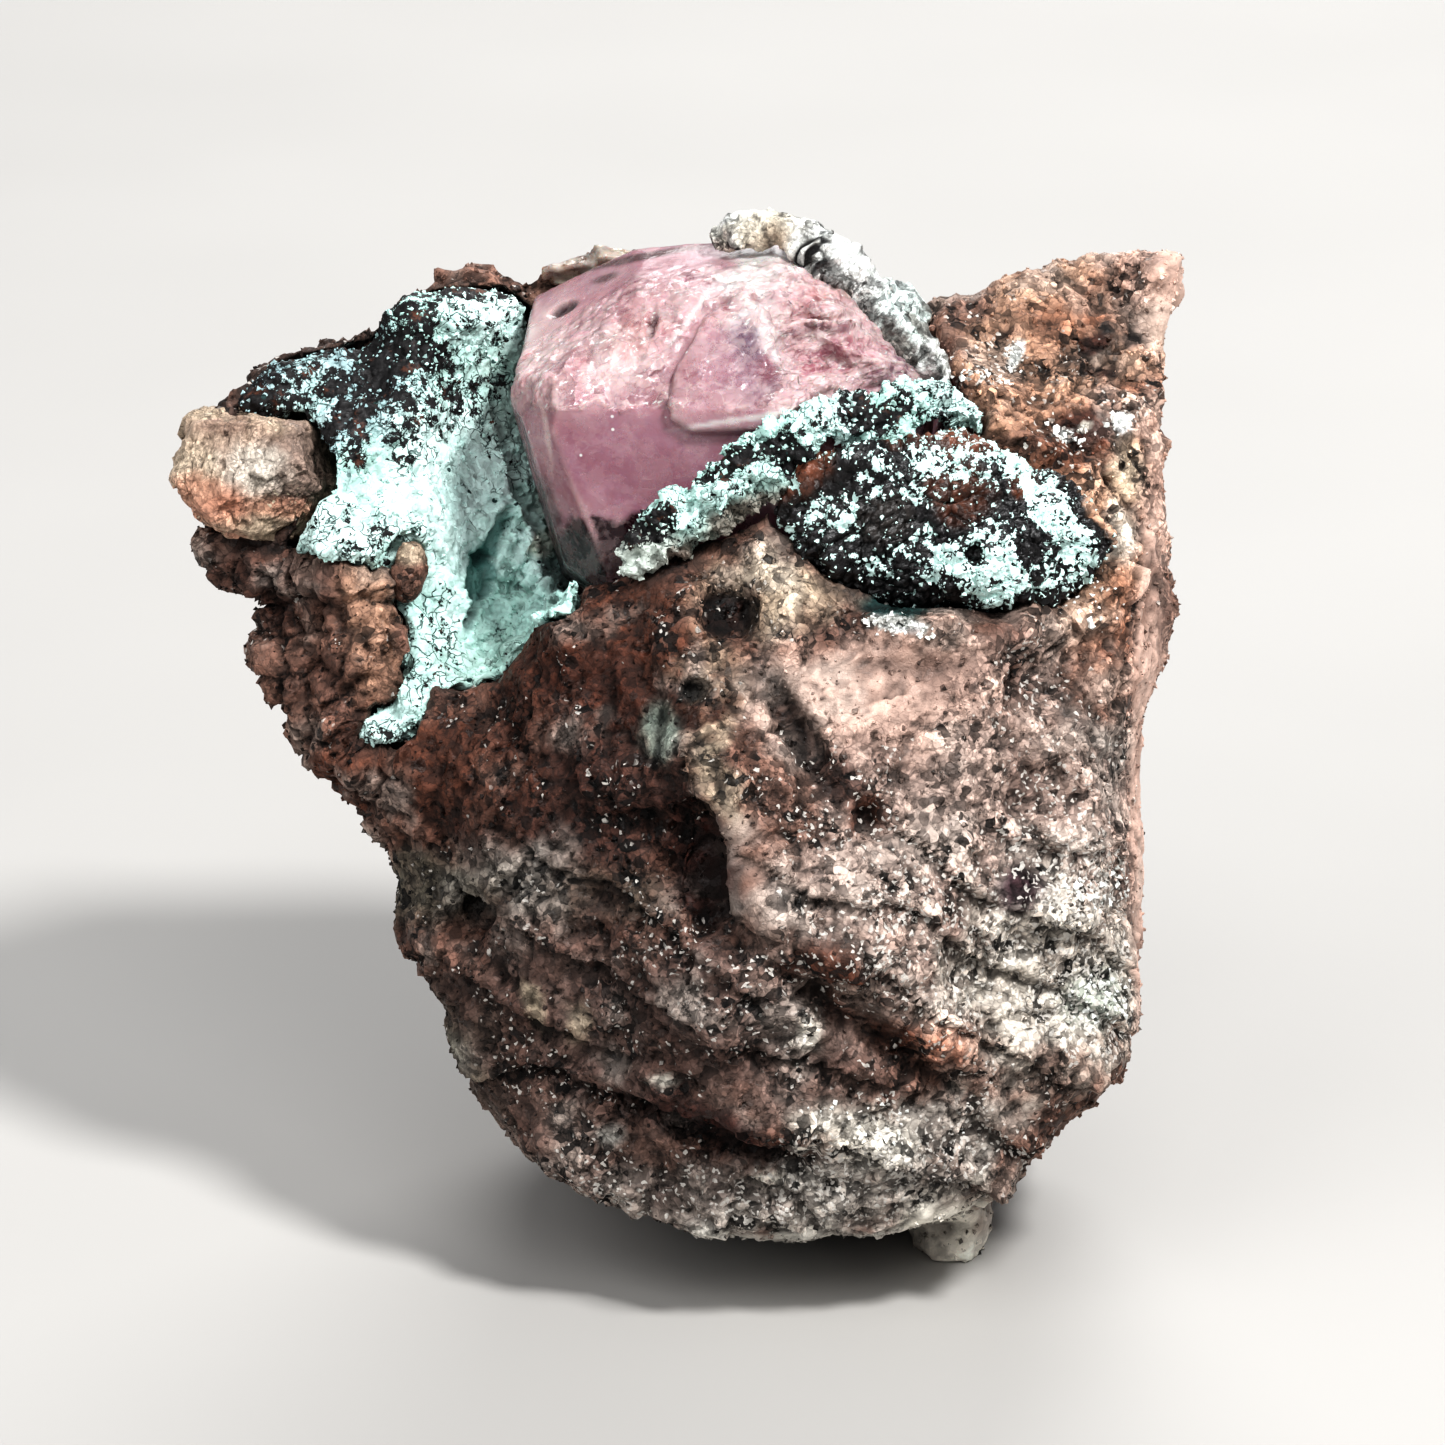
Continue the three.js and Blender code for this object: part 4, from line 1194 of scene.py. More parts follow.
@dataclass
class OxideMound:
    """The black oxide mound with its net of mint specks and its brown spots.

    Attributes:
        cell: Size of the skin's cells, in millimetres.
        lump: Height of its large lumps, in millimetres.
        thin: How far its rim sinks into the rock, in millimetres.
        specks: How many loose mint specks lie on it.
        minty: Where it has mint specks, and how many.
        bare: Where it has none.
        relief: Its knob, pits and shoulders.
        browns: What is painted on its black.
    """

    cell: float = 0.12
    lump: float = 0.3
    thin: float = 0.5
    specks: int = 2600
    minty: tuple[Patch, ...] = (
        Patch((13.6, 12.7), (4.6, 1.0), turn=-6, amount=0.5, soft=0.5),
        Patch((17.6, 10.3), (3.7, 0.8), turn=-54, amount=0.85, soft=0.3),
        Patch((14.4, 7.9), (1.6, 1.5), amount=0.8, soft=0.35),
        Patch((14.0, 6.0), (0.6, 0.9), amount=0.5, soft=0.35),
        Patch((9.7, 9.7), (1.1, 1.0), amount=-0.5, soft=0.3),
        Patch((6.6, 9.8), (1.9, 0.8), amount=0.5, soft=0.5),
        Patch((10.6, 8.0), (1.9, 0.8), amount=0.4, soft=0.5),
        Patch((11.2, 10.4), (1.0, 1.6), amount=0.3, soft=0.5),
        Patch((17.2, 6.8), (1.5, 1.0), amount=0.25, soft=0.5),
        Patch((8.8, 11.6), (3.0, 1.6), amount=0.25, soft=0.5),
        Patch((14.6, 9.2), (6.4, 3.8), amount=0.16, soft=0.4),
        Patch((19.7, 11.7), (4.2, 1.1), turn=-51, soft=0.15, amount=-2.0, front=-20),
    )
    bare: tuple[Patch, ...] = (
        Patch((13.3, 10.7), (1.1, 0.9), turn=-20, soft=0.3),
        Patch((13.9, 8.3), (0.4, 0.5), soft=0.2),
        Patch((16.4, 8.6), (0.7, 0.6), soft=0.3),
    )
    relief: tuple[Patch, ...] = (
        Patch((9.7, 9.7), (1.0, 0.9), amount=0.25),
        Patch((13.9, 8.3), (0.4, 0.5), amount=-0.5, soft=0.2),
        Patch((13.3, 10.4), (1.1, 0.8), amount=-0.35, soft=0.3),
        Patch((8.4, 13.4), (4.6, 1.4), turn=18, amount=0.9, front=-20),
        Patch((13.6, 14.4), (3.6, 0.9), turn=-12, amount=0.4, front=-20),
        Patch((14.0, 7.8), (1.6, 1.7), amount=0.25),
    )
    browns: tuple[Patch, ...] = (
        Patch((13.3, 10.9), (1.4, 1.2), Tint.RED_BROWN, amount=0.6),
        Patch((8.0, 13.8), (4.6, 1.0), Tint.RED_BROWN, turn=18, front=-20),
        Patch((16.3, 11.6), (0.7, 0.6), Tint.RED_BROWN),
        Patch((9.9, 9.9), (1.2, 1.1), Tint.CHARCOAL),
        Patch((12.4, 14.0), (4.0, 0.8), Tint.RED_BROWN, turn=-8),
        Patch((6.2, 12.4), (1.6, 0.9), Tint.RED_BROWN, turn=30),
        Patch((19.7, 11.7), (4.2, 1.1), Tint.TAN, turn=-51, soft=0.15, front=-20),
    )

    def build(self) -> Skin:
        """Sculpts, paints and places the mound.

        Returns:
            Its skin.
        """
        skin = Skin.of_node("oxide_mound", self.cell).relax(8)
        points = skin.points
        lumps = Pebbles.at(warped(points, 1.2, 0.3, seed=20), 1.0, seed=21).domes()
        small = Pebbles.at(points, 0.45, seed=25).domes()
        pits = ease(0.25, 0.7, ripple(points, 1.5, 3, seed=22))
        rolling = 0.35 * ripple(points, 2.6, 2, seed=26)
        bare = 1.0 - np.clip(raised(points, self.bare), 0.0, 1.0)
        skin.mask = np.clip(raised(points, self.minty, 0.4), 0.0, 1.0) * bare
        heights = self.lump * (lumps - 0.3) + 0.14 * small - 0.3 * pits + rolling + 0.12 * skin.mask
        uneven = 0.7 * ripple(points, 1.5, 3, seed=27)
        skin.push(heights + raised(points, self.relief) - (self.thin + uneven) * skin.rim(30))
        skin.colours = painted(points, Tint.BLACK.rgb, self.browns)
        skin.shade(rounds=6, size=0.1, dark=0.6, light=1.3)
        skin.piece("oxide_mound_body", OxideFinish("oxide").material(), "oxide_mound", "oxide_mound")
        loose = skin.grains(self.specks, (0.06, 0.2), 0.05 + skin.mask**2, SEED + 2)
        loose.colours[:] = Tint.MINT_PALE.rgb
        finish = CrustFinish("mint_specks")
        loose.piece("oxide_mound_specks", finish.material(), "oxide_mound", smooth=False)
        return skin


@dataclass
class CrestCrust:
    """The jagged mint crust along the crystal's lower right edge.

    Attributes:
        cell: Size of the skin's cells, in millimetres.
        jag: Height of its flakes and crests, in millimetres.
        crumbs: How many loose crumbs lie on it.
        colours: What is painted on its mint.
        specked: Where it has black specks, and how many.
        slim: Where it is thin, at the crystal's right end.
    """

    cell: float = 0.12
    jag: float = 0.55
    crumbs: int = 1500
    colours: tuple[Patch, ...] = (
        Patch((-1.6, 8.2), (1.6, 1.4), Tint.GREY_WHITE, amount=0.7),
        Patch((2.2, 11.4), (3.0, 0.7), Tint.MINT_PALE, turn=28, amount=0.5),
        Patch((3.0, 10.2), (3.4, 0.6), Tint.BROWN, turn=28, amount=0.8),
        Patch((7.6, 14.6), (1.4, 1.8), Tint.MINT_PALE),
        Patch((13.0, 15.6), (2.6, 0.9), Tint.MINT_PALE, turn=-14),
    )
    specked: tuple[Patch, ...] = (
        Patch((3.2, 12.8), (3.0, 0.45), turn=28, amount=1.3),
        Patch((5.6, 12.6), (1.1, 0.9), amount=1.4),
        Patch((9.3, 14.9), (1.3, 1.0), amount=1.5),
        Patch((-1.0, 9.8), (1.6, 0.6), turn=40, amount=1.3),
        Patch((6.0, 12.0), (8.0, 5.0), amount=0.5),
        Patch((13.0, 15.2), (2.8, 1.4), amount=0.45),
    )
    slim: Patch = Patch((14.0, 15.8), (3.4, 2.2), turn=-14, amount=0.6, front=-20)

    def build(self) -> Skin:
        """Sculpts, paints and places the crest.

        Returns:
            Its skin.
        """
        skin = Skin.of_node("crest_crust", self.cell).relax(4)
        points = skin.points
        flakes = Pebbles.at(warped(points, 0.9, 0.4, seed=40), 0.8, seed=41).facets()
        crumbs = Pebbles.at(points, 0.4, seed=45).facets()
        jagged = crests(points, 1.1, seed=42) - 0.5
        skin.push(self.jag * (flakes + 0.5 * crumbs + 0.9 * jagged) + 0.15 - raised(points, (self.slim,)))
        skin.colours = painted(points, Tint.MINT.rgb, self.colours)
        skin.mask = raised(points, self.specked, 0.5)
        skin.shade(rounds=8, size=0.12, dark=0.6, light=1.15)
        finish = CrustFinish("crest_crust", flake=0.6)
        skin.piece("crest_crust_skin", finish.material(), "crest_crust", "crest_crust")
        loose = skin.grains(self.crumbs, (0.07, 0.24), np.ones(len(points)), SEED + 3)
        finish = CrustFinish("crest_crumbs")
        loose.piece("crest_crust_crumbs", finish.material(), "crest_crust", smooth=False)
        return skin


@dataclass
class PinkCrystal:
    """The stubby pink calcite crystal with its cleavage plate and steps.

    Attributes:
        cell: Size of the skin's cells, in millimetres.
        boundary: How far up the face its smooth lower part reaches, in millimetres.
        colours: What is painted on its rose, with painted shade on its lower end and in its pits, and painted
            highlights on the plate's edges.
        relief: Its pits and the hollow at its upper right.
        plate: The raised cleavage plate, which stays smooth.
        edge: The upper right edge, which comes forward.
    """

    cell: float = 0.17
    boundary: float = 15.2
    colours: tuple[Patch, ...] = (
        Patch((-1.9, 18.6), (6.4, 3.4), Tint.ROSE_PALE),
        Patch((-1.4, 22.2), (6.4, 1.2), Tint.ROSE),
        Patch((-6.6, 18.4), (1.4, 2.6), Tint.ROSE_WHITE, amount=0.8),
        Patch((-3.0, 17.6), (2.0, 1.2), Tint.ROSE_WHITE, amount=0.7),
        Patch((-1.2, 12.6), (5.8, 2.6), Tint.MAUVE),
        Patch((3.4, 13.4), (3.2, 1.2), Tint.MAUVE, turn=30),
        Patch((-6.6, 12.4), (0.7, 3.4), Tint.ROSE, turn=12, amount=0.7),
        Patch((2.0, 16.6), (3.2, 2.5), Tint.ROSE),
        Patch((4.8, 15.4), (1.6, 0.9), Tint.MAUVE, amount=0.6),
        Patch((7.0, 20.6), (4.6, 3.0), Tint.ROSE_WHITE, amount=0.8),
        Patch((3.9, 21.0), (1.9, 2.1), Tint.WHITE, turn=-30, soft=0.2, amount=0.8),
        Patch((5.6, 18.2), (0.5, 1.8), Tint.WHITE, turn=24, soft=0.3, amount=0.7),
        Patch((9.0, 18.9), (2.2, 0.5), Tint.ROSE_WHITE, turn=-6, soft=0.3),
        Patch((5.6, 19.0), (0.9, 1.6), Tint.ROSE_WHITE, turn=20, soft=0.3),
        Patch((6.9, 17.8), (2.7, 1.3), Tint.ROSE_STRONG, turn=6, soft=0.2),
        Patch((6.6, 18.0), (2.3, 1.0), Tint.ROSE_DEEP, turn=6, soft=0.3, amount=0.8),
        Patch((6.2, 19.2), (2.6, 0.8), Tint.ROSE_WHITE, turn=6, amount=0.8),
        # Painted shade along the pit's upper edge.
        Patch((6.6, 19.0), (2.5, 0.26), Tint.MAUVE_DARK, turn=8, amount=0.8, soft=0.3),
        Patch((7.0, 20.8), (1.4, 0.6), Tint.ORANGE, turn=-12, amount=0.4),
        Patch((-2.2, 18.6), (1.4, 1.0), Tint.ORANGE, turn=40, amount=0.25),
        Patch((-2.4, 20.6), (3.4, 0.9), Tint.ROSE_STRONG, turn=14, amount=0.45),
        Patch((11.0, 16.6), (2.4, 1.4), Tint.MAUVE_GREY, turn=20),
        Patch((6.6, 15.8), (2.2, 0.8), Tint.ROSE_WHITE, turn=18),
        Patch((3.4, 17.6), (1.6, 2.0), Tint.MAUVE_GREY, soft=0.6, amount=0.5),
        Patch((3.2, 18.4), (0.8, 1.1), Tint.MAUVE_GREY, soft=0.6),
        Patch((4.5, 18.4), (3.2, 0.45), Tint.WHITE, turn=-65, amount=0.7, soft=0.6),
        # Painted highlights along the cleavage plate's edges.
        Patch((3.1, 14.7), (3.0, 0.12), Tint.WHITE, turn=8, amount=0.6),
        Patch((0.7, 19.8), (2.4, 0.14), Tint.WHITE, turn=54, amount=0.7),
        # Painted shade on the crystal's dark lower end.
        Patch((-3.6, 8.1), (3.8, 2.1), Tint.MAUVE_DARK, turn=-4, soft=0.1, front=-20),
        Patch((-6.2, 10.6), (0.5, 1.6), Tint.MAUVE_DARK, turn=14, amount=0.7),
        Patch((-4.6, 10.6), (0.16, 1.7), Tint.ROSE_PALE, turn=24, amount=0.8),
        Patch((-6.3, 14.6), (0.14, 2.4), Tint.ROSE_WHITE, turn=8, amount=0.8),
        Patch((9.0, 20.9), (4.8, 0.8), Tint.BONE, turn=-42, front=-20, amount=0.8),
        Patch((-1.6, 22.9), (3.6, 0.2), Tint.DARK_BROWN, turn=10, amount=0.8),
        # The purple-black spots are painted shade in the crystal's small pits.
        Patch((-5.7, 20.3), (0.62, 0.24), Tint.PURPLE_BLACK, turn=25),
        Patch((-3.6, 21.8), (0.6, 0.2), Tint.DARK_BROWN, turn=15, amount=0.7),
        Patch((-1.3, 19.2), (0.2, 0.8), Tint.PURPLE_BLACK, turn=-12, amount=0.8),
        Patch((-1.7, 17.6), (0.16, 0.3), Tint.PURPLE_BLACK, turn=-40, amount=0.8),
    )
    relief: tuple[Patch, ...] = (
        Patch((-5.7, 20.3), (0.65, 0.26), turn=25, amount=-0.35),
        Patch((-1.3, 19.2), (0.25, 0.8), turn=-12, amount=-0.25),
        Patch((6.7, 17.9), (2.5, 1.1), turn=6, amount=-0.45, soft=0.2),
    )
    plate: Patch = Patch((2.0, 16.9), (2.7, 2.2), soft=0.2, amount=0.6)
    edge: Patch = Patch((8.3, 19.5), (4.8, 1.4), turn=-45, amount=1.3, front=-20)

    def build(self) -> Skin:
        """Sculpts, paints and places the crystal.

        Returns:
            Its skin.
        """
        skin = Skin.of_node("pink_calcite_crystal", self.cell).relax(2)
        points = skin.points
        broken = self.boundary + 0.25 * ripple(points, 1.2, 3, seed=51)
        upper = ease(-0.1, 0.1, points[:, 1] - broken)
        right = ease(3.2, 5.2, points[:, 0] + 0.4 * ripple(points, 1.5, 2, seed=52))
        plate = raised(points, (self.plate,), 0.0)
        front = ease(1.0, 3.0, points[:, 2])
        scales = Pebbles.at(warped(points, 1.5, 0.5, seed=50), 1.3, seed=53).facets()
        chips = Pebbles.at(warped(points, 0.8, 0.2, seed=58), 0.6, seed=59).facets()
        drawn = points * (0.45, 2.6, 1.2) + points[:, [1, 0, 2]] * (0.0, -0.9, 0.0)
        fibres = ripple(drawn, 1.1, 3, seed=54)
        rough = 0.24 * scales + 0.12 * chips + 0.08 * ripple(points, 0.9, 4, seed=55)
        heights = upper * (1.0 - plate) * (0.1 + rough) + right * upper * 0.2 * fibres
        heights = front * heights + 0.03 * ripple(points, 2.6, 2, seed=56) + 0.05
        skin.push(heights + raised(points, self.relief, 0.1))
        skin.points[:, 2] += raised(points, (self.edge,)) * front
        skin.colours = painted(points, Tint.ROSE.rgb, self.colours, 0.4)
        # Painted highlight: whiter on the crystal's ridges and bumps.
        skin.tinge(0.45 * ease(0.02, 0.09, -skin.hollows(8)), Tint.ROSE_WHITE)
        skin.mask = front * upper * (0.62 * (1.0 - 0.8 * plate) + 0.38 * right)
        finish = CalciteFinish("pink_calcite")
        skin.piece("pink_crystal", finish.material(), "pink_calcite", "pink_calcite_crystal")
        return skin


@dataclass
class WhiteRind:
    """The rough white rind along the crystal's upper right edge, with its knob.

    Attributes:
        cell: Size of the skin's cells, in millimetres.
        colours: What is painted on its white.
        spot: The black spot beside its knob.
    """

    cell: float = 0.13
    colours: tuple[Patch, ...] = (
        Patch((4.2, 23.8), (1.8, 1.0), Tint.CREAM, front=-20, amount=0.7),
        Patch((4.6, 23.6), (0.9, 0.5), Tint.BEIGE, front=-20, amount=0.8),
        Patch((10.2, 19.6), (1.2, 1.6), Tint.MINT_PALE, turn=-50, amount=0.4),
    )
    spot: Patch = Patch((6.5, 22.7), (0.8, 0.75), soft=0.2, front=-20)

    def build(self) -> Skin:
        """Sculpts, paints and places the rind.

        Returns:
            Its skin.
        """
        skin = Skin.of_node("white_calcite_rind", self.cell).relax(3)
        points = skin.points
        flakes = Pebbles.at(warped(points, 1.0, 0.4, seed=60) * (1.0, 1.0, 0.5), 0.85, seed=61).facets()
        uneven = 0.35 * ripple(points, 2.2, 2, seed=64)
        inward = skin.normals() @ np.array([-0.5, -0.5, 0.7])
        broken = 0.45 * flakes + 0.3 * (crests(points, 1.1, seed=62) - 0.5)
        knob = ease(6.4, 5.2, points[:, 0])
        skin.push(broken + uneven + 0.3)
        skin.points[:, 2] -= (0.7 - 0.5 * knob) * ease(0.0, 0.8, inward)
        drawn = points @ np.array([[0.32, 1.52, 0.0], [-0.31, 1.58, 0.0], [0.0, 0.0, 1.0]])
        skin.colours = painted(points, Tint.WHITE.rgb, self.colours)
        skin.tinge(0.8 * (1.0 - 0.6 * knob) * ease(0.25, 0.45, ripple(drawn, 0.9, 3, seed=65)), Tint.ASH)
        skin.tinge(0.7 * ease(0.3, 0.5, ripple(drawn, 0.6, 3, seed=63)), Tint.CHARCOAL)
        skin.tinge(raised(points, (self.spot,)) * ease(0.5, 0.1, ripple(points, 0.5, 2, seed=66)), Tint.BLACK)
        skin.shade(rounds=8, size=0.1, dark=0.5, light=1.15)
        finish = StoneFinish("white_rind", grain=0.3, dark=0.75, light=1.2, gaps=0.4, pepper=0.4, relief=0.8)
        skin.piece("white_rind", finish.material(), "white_rind", "white_calcite_rind")
        return skin


@dataclass
class RearCrystals:
    """The small glassy calcite crystals behind the pink one.

    Attributes:
        cell: Size of the skin's cells, in millimetres.
    """

    cell: float = 0.12

    def build(self) -> Skin:
        """Sculpts, paints and places the rear crystals.

        Returns:
            Their skin.
        """
        skin = Skin.of_node("rear_calcite_crystals", self.cell).relax(2)
        points = skin.points
        broken = 0.1 * Pebbles.at(points, 0.7, seed=71).facets()
        skin.push(broken + 0.06 * ripple(points, 0.8, 3, seed=71) + 0.02)
        skin.colours = painted(points, Tint.BEIGE.rgb, ())
        skin.tinge(0.8 * ease(0.0, 0.6, ripple(points, 0.9, 3, seed=72)), Tint.BONE)
        skin.tinge(0.8 * ease(0.0, 0.4, ripple(points, 0.8, 3, seed=73)), Tint.BROWN)
        skin.mask = np.full(len(points), 0.3)
        finish = CalciteFinish("rear_calcite", clear=0.35, milky=0.2, absorbs=Tint.BONE, density=40.0,
                               veil=Tint.WHITE, flake=0.6)
        skin.piece("rear_crystals", finish.material(), "rear_calcite", "rear_calcite_crystals")
        return skin


@dataclass
class Fragments:
    """The beige fragment at the left end and the brown one in the pocket crust.

    Attributes:
        cell: Size of the skins' cells, in millimetres.
        sides: The directions that the beige fragment's broken sides look in, in face coordinates.
        beige: What is painted on the beige fragment.
        brown: What is painted on the brown one.
    """

    cell: float = 0.14
    sides: tuple[tuple[float, float, float], ...] = (
        (0.05, 0.1, 1.0), (0.2, 1.0, 0.1), (-0.13, -1.0, 0.1), (-0.94, 0.33, 0.2), (-0.6, 0.3, 0.9),
        (-0.78, -0.62, 0.1), (0.3, -0.6, 0.9), (0.75, -0.65, 0.2), (0.9, 0.3, 0.3), (-0.6, -0.8, -0.3),
    )
    beige: tuple[Patch, ...] = (
        Patch((-21.0, 12.4), (4.4, 2.4), Tint.PALE_PINK, amount=0.5),
        Patch((-18.4, 12.8), (2.0, 1.8), Tint.GREY_BROWN, amount=0.7),
        Patch((-20.6, 12.6), (1.5, 1.2), Tint.BONE, amount=0.6),
        Patch((-23.4, 12.6), (1.4, 1.4), Tint.CREAM, amount=0.5),
        Patch((-22.4, 10.9), (2.0, 1.0), Tint.ORANGE, turn=-25, amount=0.7),
        Patch((-19.6, 10.6), (2.4, 0.5), Tint.ORANGE, turn=-5, amount=0.6),
        Patch((-21.6, 14.6), (1.6, 0.5), Tint.BROWN, amount=0.5),
    )
    brown: tuple[Patch, ...] = (Patch((-12.9, 8.4), (0.6, 0.6), Tint.BEIGE),)

    def build(self) -> list[Skin]:
        """Sculpts, paints and places both fragments, and gives their skins."""
        return [self._pale(), self._brown()]

    def _pale(self) -> Skin:
        """Makes the beige fragment with its flat broken sides.

        Returns:
            Its skin.
        """
        skin = Skin.of_node("pale_clast", self.cell).relax(2)
        points = skin.points
        small = Pebbles.at(warped(points, 0.9, 0.3, seed=84), 0.8, seed=85).facets()
        skin.push(np.full(len(points), 0.6))
        for side in self.sides:
            skin.cut(np.array(side), 0.9)
        points = skin.points
        skin.push(0.5 * small + 0.25 * ripple(points, 1.5, 4, seed=82))
        skin.colours = painted(points, Tint.BEIGE.rgb, self.beige)
        skin.shade(rounds=8, size=0.1, dark=0.6, light=1.2)
        finish = StoneFinish("pale_clast", grain=0.34, dark=0.88, light=1.12, gaps=0.75, pepper=0.78,
                             speck=Tint.CREAM, relief=0.5)
        skin.piece("pale_fragment", finish.material(), "pale_clast", "pale_clast")
        return skin

    def _brown(self) -> Skin:
        """Makes the small brown fragment.

        Returns:
            Its skin.
        """
        skin = Skin.of_node("brown_chip", self.cell).relax(3)
        points = skin.points
        skin.push(0.3 * Pebbles.at(points, 0.8, seed=83).facets() + 0.05)
        skin.colours = painted(points, Tint.BROWN.rgb, self.brown)
        skin.shade(rounds=6, size=0.1, dark=0.5, light=1.2)
        finish = StoneFinish("brown_chip", grain=0.3, gaps=0.5)
        skin.piece("brown_fragment", finish.material(), "brown_chip", "brown_chip")
        return skin


